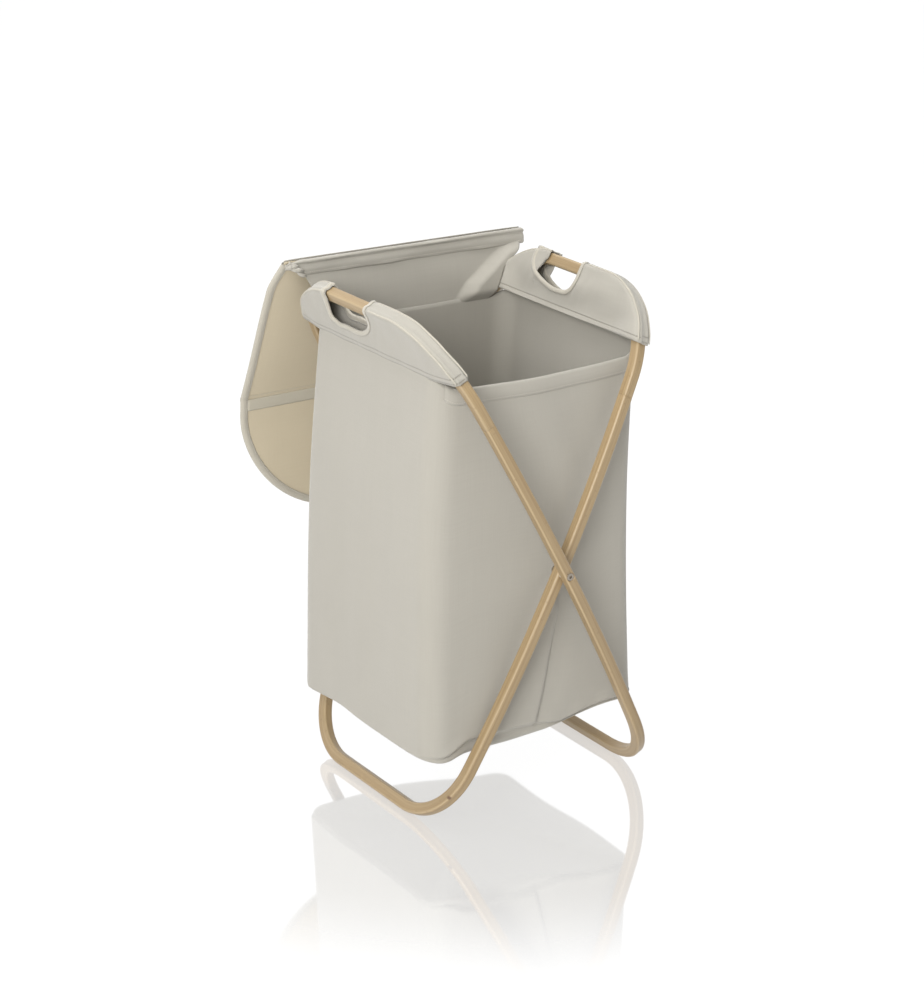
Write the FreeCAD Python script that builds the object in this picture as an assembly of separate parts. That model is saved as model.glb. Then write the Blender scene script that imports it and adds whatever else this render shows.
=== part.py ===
"""Folding laundry hamper: a fabric bag hung between two crossed bentwood loops, with a hinged fabric lid.

Millimetres, +Z up. The origin is on the floor under the middle of the crossed frame. X runs across the
crossing, Y runs along the two handle bars, and -Y is the front, where the crossing is seen.
"""

import FreeCAD, Part
import math
import os

os.makedirs("parts", exist_ok=True)
V = FreeCAD.Vector

# ---- driving dimensions -------------------------------------------------------------------------
LEAN = 26.9             # each loop's lean from the vertical, degrees
ARM = 348.0             # pivot to the centre of the top and bottom bars
BAR_DEEP = 15.0         # bar section, in the plane of its loop
BAR_WIDE = 13.5         # bar section, across the plane of its loop
BAR_ROUND = 3.0         # rounding of the bar's long edges
INNER_HALF = 185.5      # half depth of the inner loop at the pivot, to the bar's centre
INNER_FOOT_BEND = 92.0  # corner radius of the inner loop's lower half
TOP_BEND = 112.0        # corner radius of both upper halves, rounder for the hands
INNER_BOW = 2273.0      # radius of the gentle outward bow of its legs
LOOP_GAP = 1.0          # washer space between the two loops
OUTER_HALF = INNER_HALF + BAR_DEEP + LOOP_GAP
OUTER_FOOT_BEND = 118.0
OUTER_BOW = 1800.0
SPLICE = 225.0          # pivot to the glued joint in each leg

BOLT_SHANK = 5.96       # connector bolt at each pivot
BOLT_HEAD = 10.0
BOLT_HEAD_TALL = 3.0
HEX_SOCKET = 4.0
PIVOT_BORE = 6.1
NUT_BARREL = 8.0
NUT_FLANGE = 12.0
NUT_FLANGE_TALL = 1.4

CLOTH = 1.2             # bag fabric
BAG_TOP = 574.5         # the side walls' upper seam
BAG_FOOT = 86.5         # lower edge of the walls
CORNER = 28.0           # soft vertical corners of the bag
TOP_LEFT, TOP_RIGHT, TOP_DEEP = -146.6, 146.6, 148.5
FOOT_LEFT, FOOT_RIGHT, FOOT_DEEP = -171.0, 138.0, 160.0
PANEL_GAP = 0.3         # between panels that move apart when the frame folds
FRONT_RIM = 560.0
BACK_RIM = 572.0

MOUTH = 294.0           # pivot to the sleeve's lower edge, along the loop
SLEEVE_CLEAR = 0.5      # sleeve to bar
SLEEVE_CLOTH = 1.6
MOUTH_OUT = 14.0        # how far the sleeve's outer layer stands off the loop's plane at its seam
HOLE_LONG = 96.0        # hand hole, along the bar
HOLE_FOOT = 316.0       # pivot to the hand hole's lower edge
HOLE_ROUND = 26.0
HOLE_LEFT_Y = 29.0      # middle of each hand hole along its bar
HOLE_RIGHT_Y = 38.0
TRIM_WIDE = 4.0
TRIM_TALL = 0.8

RIDGE_LEFT, RIDGE_RIGHT = -173.0, 176.0
RIDGE_FRONT, RIDGE_BACK = 157.5, 167.2
RIDGE_FOOT, RIDGE_TOP = 634.0, 654.0
LID_AXIS_Y, LID_AXIS_Z = 168.5, 657.0
LID_LEAN = 28.0         # the open lid's slope from the vertical
LID_HALF = 183.0        # half width of the lid
LID_LONG = 235.0        # ridge to the lid's fold line
FLAP_LONG = 170.0       # fold line to the lid's free end
FLAP_ROUND = 150.0      # radius of the free end's corners
LINING = 0.8
INTERLINING = 1.5
COVER = 1.0
BINDING_WIDE = 8.0
BINDING_CLOTH = 0.65


def rad(degrees):
    return math.radians(degrees)


# the lowest point of a rounded, leaning bar below its centre, then the pivot above the floor
BAR_DROP = BAR_ROUND + (BAR_WIDE / 2 - BAR_ROUND) * math.sin(rad(LEAN))
BAR_DROP += (BAR_DEEP / 2 - BAR_ROUND) * math.cos(rad(LEAN))
PIVOT_Z = BAR_DROP + ARM * math.cos(rad(LEAN))


def save(shape, node):
    shape.exportStep("parts/" + node + ".step")


def box(x, y, z):
    """A box from three (low, high) pairs."""
    low = V(x[0], y[0], z[0])
    return Part.makeBox(x[1] - x[0], y[1] - y[0], z[1] - z[0], low)


def prism(points, along):
    """A closed polygon pushed along a vector."""
    return Part.Face(Part.makePolygon(points + points[:1])).extrude(along)


class Loop:
    """One bentwood loop. side is +1 if its top bar is on the right, and -1 if it is on the left."""

    def __init__(self, side, half, foot_bend, top_bend, bow):
        self.side = side
        self.half = half
        self.bow = bow
        self.up = V(side * math.sin(rad(LEAN)), 0, math.cos(rad(LEAN)))
        self.out = V(side * math.cos(rad(LEAN)), 0, -math.sin(rad(LEAN)))
        # for the upper (1) and lower (-1) half: corner radius, corner centre (s, y), and the
        # direction in which leg and corner meet
        self.bend, self.bend_s, self.bend_y, self.meet = {}, {}, {}, {}
        for top, bend in ((1, top_bend), (-1, foot_bend)):
            reach = math.sqrt((bow - bend) ** 2 - (ARM - bend) ** 2)
            self.bend[top] = bend
            self.bend_s[top] = ARM - bend
            self.bend_y[top] = half - bow + reach
            self.meet[top] = math.atan2(reach, ARM - bend)

    def at(self, s, y, n=0.0):
        """A point s up the loop from the pivot, y deep, and n out of the loop's plane."""
        return V(0, y, PIVOT_Z) + self.up * s + self.out * n

    def leg(self, s_from, s_to, sign):
        """The bowed leg on the side of the given sign, between two distances from the pivot."""
        def point(s):
            return self.at(s, sign * (self.half - self.bow + math.sqrt(self.bow ** 2 - s ** 2)))
        middle = point((s_from + s_to) / 2)
        return Part.Arc(point(s_from), middle, point(s_to)).toShape()

    def corner(self, top, sign, bigger=0.0, start=0.0, end=None):
        """A rounded corner, from angle start (at the bar) to end (at the leg)."""
        end = self.meet[top] if end is None else end
        r = self.bend[top] + bigger
        def point(a):
            s = top * (self.bend_s[top] + r * math.cos(a))
            return self.at(s, sign * (self.bend_y[top] + r * math.sin(a)))
        return Part.Arc(point(start), point((start + end) / 2), point(end)).toShape()

    def half_path(self, top):
        """The centre line of the upper (top = 1) or lower (top = -1) half, joined at the splices."""
        meet_s = top * self.bow * math.cos(self.meet[top])
        bar_y = self.bend_y[top]
        bar = Part.makeLine(self.at(top * ARM, -bar_y), self.at(top * ARM, bar_y))
        edges = [self.leg(SPLICE, meet_s, -1), self.corner(top, -1), bar]
        edges += [self.corner(top, 1), self.leg(SPLICE, meet_s, 1)]
        return Part.Wire(Part.__sortEdges__(edges))

    def section(self):
        """The bar's rounded section, square to the leg at the front splice."""
        a, b, r = BAR_DEEP / 2, BAR_WIDE / 2, BAR_ROUND
        k = r * (1 - math.sqrt(0.5))
        turn = math.asin(SPLICE / self.bow)
        y0 = -(self.half - self.bow + math.sqrt(self.bow ** 2 - SPLICE ** 2))
        across = self.up * math.sin(turn) - V(0, 1, 0) * math.cos(turn)
        def p(u, v):
            return self.at(SPLICE, y0) + across * u + self.out * v
        edges = []
        for su, sv in ((1, 1), (-1, 1), (-1, -1), (1, -1)):
            ends = [p(su * a, sv * (b - r)), p(su * (a - r), sv * b)]
            if su * sv < 0:
                ends.reverse()
            edges.append(Part.Arc(ends[0], p(su * (a - k), sv * (b - k)), ends[1]).toShape())
        lines = []
        for n, edge in enumerate(edges):
            after = edges[(n + 1) % 4]
            lines.append(Part.makeLine(edge.Vertexes[-1].Point, after.Vertexes[0].Point))
        return Part.Wire(Part.__sortEdges__(edges + lines))

    def bar(self, top):
        return self.half_path(top).makePipeShell([self.section()], True, False)

    def hood_outline(self, bigger, foot):
        """The region inside the loop's top, grown past the bar's centre and cut off at foot."""
        r = self.bend[1] + bigger
        bend_s, bend_y = self.bend_s[1], self.bend_y[1]
        end = math.acos((foot - bend_s) / r) if foot > bend_s else math.pi / 2
        front = self.corner(1, -1, bigger, 0.0, end)
        back = self.corner(1, 1, bigger, 0.0, end)
        deep = bend_y + r * math.sin(end)
        top = Part.makeLine(self.at(ARM + bigger, -bend_y), self.at(ARM + bigger, bend_y))
        edges = [front, top, back]
        if foot < bend_s:
            for sign in (-1, 1):
                edges.append(Part.makeLine(self.at(bend_s, sign * deep), self.at(foot, sign * deep)))
        edges.append(Part.makeLine(self.at(foot, -deep), self.at(foot, deep)))
        return Part.Face(Part.Wire(Part.__sortEdges__(edges)))

    def wedge(self, inner, outer_top, outer_mouth, foot):
        """Everything between the sleeve's inner plane and its outer plane, which stands off at the seam."""
        top = ARM + 30.0
        slope = (outer_mouth - outer_top) / (ARM - MOUTH)
        def outer(s):
            return outer_top + slope * (ARM - s)
        y = -260.0
        corners = [(top, inner), (top, outer(top)), (foot, outer(foot)), (foot, inner)]
        return prism([self.at(s, y, n) for s, n in corners], V(0, -2 * y, 0))

    def hole(self, middle, bigger=0.0):
        """The hand hole: open over the bar, with two round lower corners, through everything."""
        a = HOLE_LONG / 2 + bigger
        low = HOLE_FOOT - bigger
        r = HOLE_ROUND + bigger
        top = ARM + 60.0
        k = r * (1 - math.sqrt(0.5))
        n = -40.0
        def p(s, y):
            return self.at(s, middle + y, n)
        edges = [Part.makeLine(p(top, -a), p(low + r, -a))]
        edges.append(Part.Arc(p(low + r, -a), p(low + k, -a + k), p(low, -a + r)).toShape())
        edges.append(Part.makeLine(p(low, -a + r), p(low, a - r)))
        edges.append(Part.Arc(p(low, a - r), p(low + k, a - k), p(low + r, a)).toShape())
        edges.append(Part.makeLine(p(low + r, a), p(top, a)))
        edges.append(Part.makeLine(p(top, a), p(top, -a)))
        return Part.Face(Part.Wire(edges)).extrude(self.out * 80.0)


inner = Loop(1, INNER_HALF, INNER_FOOT_BEND, TOP_BEND, INNER_BOW)
outer = Loop(-1, OUTER_HALF, OUTER_FOOT_BEND, TOP_BEND, OUTER_BOW)

# ---- crossed frame: each loop is two bent halves, joined in its legs ----------------------------------
def along_y(radius, y_from, y_to):
    """A cylinder on the pivot's axis."""
    low, high = sorted((y_from, y_to))
    return Part.makeCylinder(radius, high - low, V(0, low, PIVOT_Z), V(0, 1, 0))


inner_face = INNER_HALF + BAR_DEEP / 2
outer_face = OUTER_HALF + BAR_DEEP / 2
recess = outer_face - 0.5 - BOLT_HEAD_TALL

inner_lower = inner.bar(-1)
outer_lower = outer.bar(-1)
for sign in (-1, 1):
    inner_lower = inner_lower.cut(along_y(NUT_BARREL / 2 + 0.05, sign * 160, sign * 200))
    outer_lower = outer_lower.cut(along_y(PIVOT_BORE / 2, sign * 190, sign * 215))
    outer_lower = outer_lower.cut(along_y(BOLT_HEAD / 2 + 0.3, sign * recess, sign * 215))
save(inner_lower, "inner_loop_lower")
save(inner.bar(1), "inner_loop_upper")
save(outer_lower, "outer_loop_lower")
save(outer.bar(1), "outer_loop_upper")

# ---- pivot hardware: bolt, spacing washer and barrel nut, front and back ---------------------------
bolts, washers, nuts = [], [], []
for sign in (-1, 1):
    tip = INNER_HALF - BAR_DEEP / 2 + 1.0
    head = along_y(BOLT_HEAD / 2, sign * (recess + 0.05), sign * (recess + BOLT_HEAD_TALL))
    head = head.makeChamfer(0.5, [e for e in head.Edges if abs(e.CenterOfMass.y * sign - recess) > 2 and e.Closed])
    bolt = head.fuse(along_y(BOLT_SHANK / 2, sign * tip, sign * (recess + 0.5)))
    ring = [V(HEX_SOCKET / math.sqrt(3) * math.cos(rad(60 * n + 15)), sign * (recess + 1.2),
              PIVOT_Z + HEX_SOCKET / math.sqrt(3) * math.sin(rad(60 * n + 15))) for n in range(6)]
    bolts.append(bolt.cut(prism(ring, V(0, sign * 6, 0))))
    washer = along_y(6.0, sign * (inner_face + 0.05), sign * (inner_face + LOOP_GAP - 0.1))
    washers.append(washer.cut(along_y(PIVOT_BORE / 2, sign * 190, sign * 200)))
    back_face = INNER_HALF - BAR_DEEP / 2
    nut = along_y(NUT_BARREL / 2, sign * (back_face - NUT_FLANGE_TALL), sign * (inner_face - 2.0))
    nut = nut.fuse(along_y(NUT_FLANGE / 2, sign * (back_face - NUT_FLANGE_TALL), sign * (back_face - 0.05)))
    nuts.append(nut.cut(along_y(BOLT_SHANK / 2 + 0.02, sign * (tip - 0.2), sign * 200)))
save(Part.makeCompound(bolts), "pivot_bolts")
save(Part.makeCompound(washers), "pivot_washers")
save(Part.makeCompound(nuts), "pivot_nuts")

# ---- sleeves: two layers and a bent strip at each end, sewn into a flat pocket over each loop's top ----
def sleeve(loop, middle):
    grow = BAR_DEEP / 2 + SLEEVE_CLEAR
    inside = -(BAR_WIDE / 2 + SLEEVE_CLEAR)
    outer_top = BAR_WIDE / 2 + SLEEVE_CLEAR + SLEEVE_CLOTH
    skin = loop.wedge(inside - SLEEVE_CLOTH, outer_top, MOUTH_OUT, MOUTH)
    hollow = loop.wedge(inside, outer_top - SLEEVE_CLOTH, MOUTH_OUT - SLEEVE_CLOTH, MOUTH - 30)
    def slab(bigger, foot, wedge):
        face = loop.hood_outline(bigger, foot)
        face.translate(loop.out * -40)
        return face.extrude(loop.out * 80).common(wedge)
    hole = loop.hole(middle)
    whole = slab(grow + SLEEVE_CLOTH, MOUTH, skin).cut(hole)
    inner_layer = whole.common(loop.wedge(inside - SLEEVE_CLOTH - 1, inside, inside, MOUTH - 30))
    outer_layer = whole.cut(loop.wedge(-40, outer_top - SLEEVE_CLOTH, MOUTH_OUT - SLEEVE_CLOTH, MOUTH - 30))
    strips = whole.common(hollow).cut(slab(grow, MOUTH - 20, hollow)).Solids
    strips.sort(key=lambda s: s.CenterOfMass.y)
    trim = slab(grow + SLEEVE_CLOTH, MOUTH, loop.wedge(-40, 40, 40, MOUTH)).common(loop.hole(middle, TRIM_WIDE)).cut(hole)
    proud = loop.wedge(inside - SLEEVE_CLOTH - TRIM_TALL, outer_top + TRIM_TALL, MOUTH_OUT + TRIM_TALL, MOUTH)
    return inner_layer, outer_layer, strips, trim.common(proud.cut(skin))


for loop, middle, name in ((outer, HOLE_LEFT_Y, "left"), (inner, HOLE_RIGHT_Y, "right")):
    inner_layer, outer_layer, strips, trim = sleeve(loop, middle)
    save(inner_layer, name + "_sleeve_inner_layer")
    save(outer_layer, name + "_sleeve_outer_layer")
    save(strips[0], name + "_sleeve_front_strip")
    save(strips[1], name + "_sleeve_back_strip")
    save(trim, name + "_hand_hole_binding")

# ---- bag: side walls with soft corners, front, back and bottom ----------------------------------------
def bag_at(z):
    """The bag's left, right and half depth at a height; it leans a little to the left as it hangs."""
    t = (z - BAG_FOOT) / (BAG_TOP - BAG_FOOT)
    left = FOOT_LEFT + t * (TOP_LEFT - FOOT_LEFT)
    right = FOOT_RIGHT + t * (TOP_RIGHT - FOOT_RIGHT)
    return left, right, FOOT_DEEP + t * (TOP_DEEP - FOOT_DEEP)


def side_profile(side, z):
    left, right, deep = bag_at(z)
    wall = right if side > 0 else left
    k = math.sqrt(0.5)
    cx, cy = wall - side * CORNER, deep - CORNER
    def p(r, angle, sign):
        return V(cx + side * r * math.cos(rad(angle)), sign * (cy + r * math.sin(rad(angle))), z)
    edges = []
    for r in (CORNER, CORNER - CLOTH):
        for sign in (-1, 1):
            edges.append(Part.Arc(p(r, 90, sign), p(r, 45, sign), p(r, 0, sign)).toShape())
        edges.append(Part.makeLine(p(r, 0, -1), p(r, 0, 1)))
    for sign in (-1, 1):
        edges.append(Part.makeLine(p(CORNER, 90, sign), p(CORNER - CLOTH, 90, sign)))
    return Part.Wire(Part.__sortEdges__(edges))


for side, name in ((-1, "left_side_panel"), (1, "right_side_panel")):
    save(Part.makeLoft([side_profile(side, BAG_FOOT), side_profile(side, BAG_TOP)], True, True), name)


def flat_profile(sign, z):
    left, right, deep = bag_at(z)
    low, high = left + CORNER + PANEL_GAP, right - CORNER - PANEL_GAP
    ys = (sign * deep, sign * (deep - CLOTH))
    corners = [V(low, ys[0], z), V(high, ys[0], z), V(high, ys[1], z), V(low, ys[1], z)]
    return Part.makePolygon(corners + corners[:1])


save(Part.makeLoft([flat_profile(-1, BAG_FOOT), flat_profile(-1, FRONT_RIM)], True, True), "front_panel")
save(Part.makeLoft([flat_profile(1, BAG_FOOT), flat_profile(1, BACK_RIM)], True, True), "back_panel")

left, right, deep = bag_at(BAG_FOOT)
inset = CLOTH + 0.4
floor = box((left + inset, right - inset), (inset - deep, deep - inset), (BAG_FOOT + 1.5, BAG_FOOT + 3.0))
uprights = [e for e in floor.Edges if abs(e.Vertexes[0].Z - e.Vertexes[1].Z) > 1]
save(floor.makeFillet(CORNER - inset, uprights), "bottom_panel")

# the front rim's folded hem straddles the panel's upper edge
hem_tall, hem_cloth = 18.0, 0.8
left, right, deep = bag_at(FRONT_RIM)
low, high = left + CORNER + 3.0, right - CORNER - 3.0
drop = bag_at(FRONT_RIM - hem_tall)[2] - deep
def strip(y_top, y_foot, thick, z_top, z_foot):
    return [V(low, -y_top, z_top), V(low, -y_top + thick, z_top), V(low, -y_foot + thick, z_foot), V(low, -y_foot, z_foot)]
outside = prism(strip(deep + hem_cloth + 0.02, deep + drop + hem_cloth + 0.02, hem_cloth,
                      FRONT_RIM + hem_cloth, FRONT_RIM - hem_tall), V(high - low, 0, 0))
inside = prism(strip(deep - CLOTH - 0.02, deep + drop - CLOTH - 0.02, hem_cloth,
                     FRONT_RIM + hem_cloth, FRONT_RIM - hem_tall), V(high - low, 0, 0))
cap = box((low, high), (-deep - hem_cloth - 0.02, -deep + CLOTH + hem_cloth + 0.02), (FRONT_RIM + 0.02, FRONT_RIM + hem_cloth))
save(outside.fuse(inside).fuse(cap).removeSplitter(), "front_rim_hem")

# ---- riser from the back rim to the lid's ridge ---------------------------------------------------------
half = 118.0
deep = bag_at(BACK_RIM)[2]
riser = [V(-half, deep - CLOTH, BACK_RIM + 0.05), V(-half, deep, BACK_RIM + 0.05)]
riser += [V(-half, RIDGE_BACK - 3.0, RIDGE_FOOT - 0.05), V(-half, RIDGE_BACK - 3.0 - CLOTH, RIDGE_FOOT - 0.05)]
save(prism(riser, V(2 * half, 0, 0)), "back_riser")
ridge = box((RIDGE_LEFT, RIDGE_RIGHT), (RIDGE_FRONT, RIDGE_BACK), (RIDGE_FOOT, RIDGE_TOP))
long_edges = [e for e in ridge.Edges if abs(e.Vertexes[0].X - e.Vertexes[1].X) > 1]
save(ridge.makeFillet(4.0, long_edges), "lid_ridge")

# ---- lid: stiffened part, then a soft flap beyond its fold line -------------------------------------------
along = V(0, math.sin(rad(LID_LEAN)), -math.cos(rad(LID_LEAN)))
face = V(0, math.cos(rad(LID_LEAN)), math.sin(rad(LID_LEAN)))
axis = V(0, LID_AXIS_Y, LID_AXIS_Z)
def lid_slab(x, v, n):
    """A slab of the lid, from its x, distance from the ridge, and offset towards the cover."""
    corners = [(v[0], n[0]), (v[1], n[0]), (v[1], n[1]), (v[0], n[1])]
    points = [axis + along * a + face * b + V(x[0], 0, 0) for a, b in corners]
    return prism(points, V(x[1] - x[0], 0, 0))


low_face = -(LINING + INTERLINING + COVER) / 2
layers = [low_face, low_face + LINING, low_face + LINING + INTERLINING, -low_face]
end = LID_LONG - 1.2
save(lid_slab((-LID_HALF, LID_HALF), (1.0, end), (layers[0], layers[1])), "lid_lining")
save(lid_slab((-LID_HALF + 12, LID_HALF - 12), (8.0, end - 14), (layers[1] + 0.05, layers[2] - 0.05)), "lid_interlining")
save(lid_slab((-LID_HALF, LID_HALF), (1.0, end), (layers[2], layers[3])), "lid_cover")
bindings = []
for sign in (-1, 1):
    wide = sorted((sign * (LID_HALF - BINDING_WIDE), sign * (LID_HALF + 0.2 + BINDING_CLOTH)))
    slot = sorted((sign * (LID_HALF - BINDING_WIDE - 1), sign * (LID_HALF + 0.2)))
    reach = layers[3] + 0.03
    strap = lid_slab(wide, (1.0, end), (-reach - BINDING_CLOTH, reach + BINDING_CLOTH))
    bindings.append(strap.cut(lid_slab(slot, (-5.0, end + 5), (-reach, reach))))
save(Part.makeCompound(bindings), "lid_binding")

fold = axis + along * LID_LONG
def flap_outline(smaller):
    """The hanging flap's edge, square at the fold line and round at the free end."""
    a = LID_HALF - smaller
    top, foot = fold.z - 1.2, fold.z - FLAP_LONG + smaller
    r = FLAP_ROUND - smaller
    k = r * (1 - math.sqrt(0.5))
    def p(x, z):
        return V(x, fold.y - 5, z)
    edges = [Part.makeLine(p(-a, top), p(-a, foot + r))]
    edges.append(Part.Arc(p(-a, foot + r), p(-a + k, foot + k), p(-a + r, foot)).toShape())
    edges.append(Part.makeLine(p(-a + r, foot), p(a - r, foot)))
    edges.append(Part.Arc(p(a - r, foot), p(a - k, foot + k), p(a, foot + r)).toShape())
    edges.append(Part.makeLine(p(a, foot + r), p(a, top)))
    edges.append(Part.makeLine(p(a, top), p(-a, top)))
    return Part.Face(Part.Wire(edges))


def flap_slab(smaller, y_from, y_to):
    slab = flap_outline(smaller)
    slab.translate(V(0, 5 + y_from, 0))
    return slab.extrude(V(0, y_to - y_from, 0))


mid = (LINING - COVER) / 2
skin = (LINING + COVER) / 2
save(flap_slab(0, -skin, mid - 0.01), "flap_lining")
save(flap_slab(0, mid + 0.01, skin), "flap_cover")
edge = flap_slab(-0.2 - BINDING_CLOTH, -skin - 0.03 - BINDING_CLOTH, skin + 0.03 + BINDING_CLOTH)
edge = edge.common(box((-300, 300), (0, 500), (0, fold.z - 1.2)))
edge = edge.cut(flap_slab(-0.2, -skin - 0.03, skin + 0.03)).cut(flap_slab(BINDING_WIDE, -9, 9))
opening = box((-LID_HALF - 0.2, LID_HALF + 0.2), (fold.y - skin - 0.03, fold.y + skin + 0.03), (fold.z - 9, fold.z + 9))
slack = box((-LID_HALF + BINDING_WIDE, LID_HALF - BINDING_WIDE), (fold.y - 9, fold.y + 9), (fold.z - 12, fold.z + 9))
save(edge.cut(opening).cut(slack), "flap_binding")
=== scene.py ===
"""Folding laundry hamper: a fabric bag hung between two crossed bamboo loops, lid thrown open behind.

Metres, in the CAD model's frame: the floor is z = 0, the front is -Y and the handle bars run along Y.
"""

import math

import bpy
import numpy as np
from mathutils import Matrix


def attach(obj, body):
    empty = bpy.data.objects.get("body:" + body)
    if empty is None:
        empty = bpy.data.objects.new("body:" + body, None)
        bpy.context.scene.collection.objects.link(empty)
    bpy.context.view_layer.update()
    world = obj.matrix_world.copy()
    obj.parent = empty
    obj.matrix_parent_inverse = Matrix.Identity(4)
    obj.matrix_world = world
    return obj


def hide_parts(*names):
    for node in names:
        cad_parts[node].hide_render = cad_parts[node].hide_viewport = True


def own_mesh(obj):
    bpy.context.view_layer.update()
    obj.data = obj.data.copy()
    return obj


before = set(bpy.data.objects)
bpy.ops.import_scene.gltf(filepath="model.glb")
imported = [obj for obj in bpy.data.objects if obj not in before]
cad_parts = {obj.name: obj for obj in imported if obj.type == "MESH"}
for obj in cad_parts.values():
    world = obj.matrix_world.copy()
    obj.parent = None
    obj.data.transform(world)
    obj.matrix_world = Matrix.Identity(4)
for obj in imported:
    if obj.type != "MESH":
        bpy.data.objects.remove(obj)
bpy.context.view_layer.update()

# ---- bentwood loops -----------------------------------------------------------------------------
# Two closed loops of laminated bamboo, steam-bent round four corners each and glued from a lower and
# an upper half with a butt joint in each leg. The outer loop leans left, the inner one right, and
# they cross at the pivots.
LEAN = math.radians(26.9)
ARM = 0.348             # pivot to the middle of the top and bottom bars
SPLICE = 0.225          # pivot to the glued joints
BAR_DEEP = 0.015
BAR_WIDE = 0.0135
BAR_ROUND = 0.003
PIVOT_Z = BAR_ROUND + (BAR_WIDE / 2 - BAR_ROUND) * math.sin(LEAN)
PIVOT_Z += (BAR_DEEP / 2 - BAR_ROUND) * math.cos(LEAN) + ARM * math.cos(LEAN)


def enclosed(points):
    """The volume inside a closed tube of points (rows, columns, 3) with flat ends.

    It is a sixth of the sum, over every triangle, of p . (q x r).
    """
    ring = np.roll(points, -1, 1)
    def part(p, q, r):
        return np.einsum("...k,...k->...", p, np.cross(q, r)).sum() / 6
    wall = part(points[:-1], ring[:-1], ring[1:]) + part(points[:-1], ring[1:], points[1:])
    first, last = points[0], points[-1]
    ends = part(first[:1], first[2:], first[1:-1]) + part(last[:1], last[1:-1], last[2:])
    return wall + ends


def surface(name, points, uv=None, wrap=(False, False), caps=False, flip=False):
    """A mesh from a grid of points (rows, columns, 3), one quad between each four neighbours.

    wrap joins the last row or column to the first, caps closes the two end rows, and flip turns the
    faces over. uv holds metres along the piece; where the grid wraps it has one more row or column.
    """
    if caps:
        flip = enclosed(points) < 0
    rows, cols = points.shape[:2]
    i, j = np.meshgrid(np.arange(rows - (not wrap[0])), np.arange(cols - (not wrap[1])), indexing="ij")
    ring = [(0, 0), (1, 0), (1, 1), (0, 1)] if flip else [(0, 0), (0, 1), (1, 1), (1, 0)]
    corners = np.stack([((i + a) % rows) * cols + (j + b) % cols for a, b in ring], -1).reshape(-1, 4)
    loops, sizes = [corners.ravel()], [np.full(len(corners), 4)]
    if caps:
        ends = np.arange(cols), (rows - 1) * cols + np.arange(cols)
        loops += [ends[0] if flip else ends[0][::-1], ends[1][::-1] if flip else ends[1]]
        sizes.append(np.array([cols, cols]))
    loops, sizes = np.concatenate(loops), np.concatenate(sizes)
    mesh = bpy.data.meshes.new(name)
    mesh.vertices.add(rows * cols)
    mesh.vertices.foreach_set("co", points.reshape(-1).astype(np.float32))
    mesh.loops.add(len(loops))
    mesh.loops.foreach_set("vertex_index", loops.astype(np.int32))
    mesh.polygons.add(len(sizes))
    mesh.polygons.foreach_set("loop_start", (np.cumsum(sizes) - sizes).astype(np.int32))
    mesh.polygons.foreach_set("use_smooth", np.ones(len(sizes), bool))
    mesh.update(calc_edges=True)
    if uv is not None:
        at = np.stack([(i + a) * uv.shape[1] + j + b for a, b in ring], -1).ravel()
        flat = np.zeros((len(loops), 2), np.float32)
        flat[:len(at)] = uv.reshape(-1, 2)[at]
        mesh.uv_layers.new(name="cloth").data.foreach_set("uv", flat.ravel())
    piece = bpy.data.objects.new(name, mesh)
    bpy.context.scene.collection.objects.link(piece)
    return piece


def arc_steps(start, end, radius, step):
    """Angles from start to end, about step metres apart on a circle of that radius."""
    return np.linspace(start, end, max(2, round(abs(end - start) * radius / step) + 1))


def run_of(points):
    """Distance along a line of points (n, 2 or 3), from its first point."""
    return np.concatenate([[0], np.cumsum(np.linalg.norm(np.diff(points, axis=0), axis=1))])


def rounded_bar(deep, wide, r, steps=5, flats=4):
    """A bar's rounded section as points (u, v): four quarter circles of radius r joined by flats."""
    out = []
    for quarter, (su, sv) in enumerate(((1, 1), (-1, 1), (-1, -1), (1, -1))):
        a = (quarter + np.linspace(0, 1, steps + 1)) * math.pi / 2
        arc = np.stack([su * (deep / 2 - r) + r * np.cos(a), sv * (wide / 2 - r) + r * np.sin(a)], 1)
        out.append(arc)
    joined = []
    for n, arc in enumerate(out):
        after = out[(n + 1) % 4][0]
        joined += [arc, arc[-1] + (after - arc[-1]) * np.linspace(0, 1, flats + 2)[1:-1, None]]
    return np.concatenate(joined)


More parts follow.
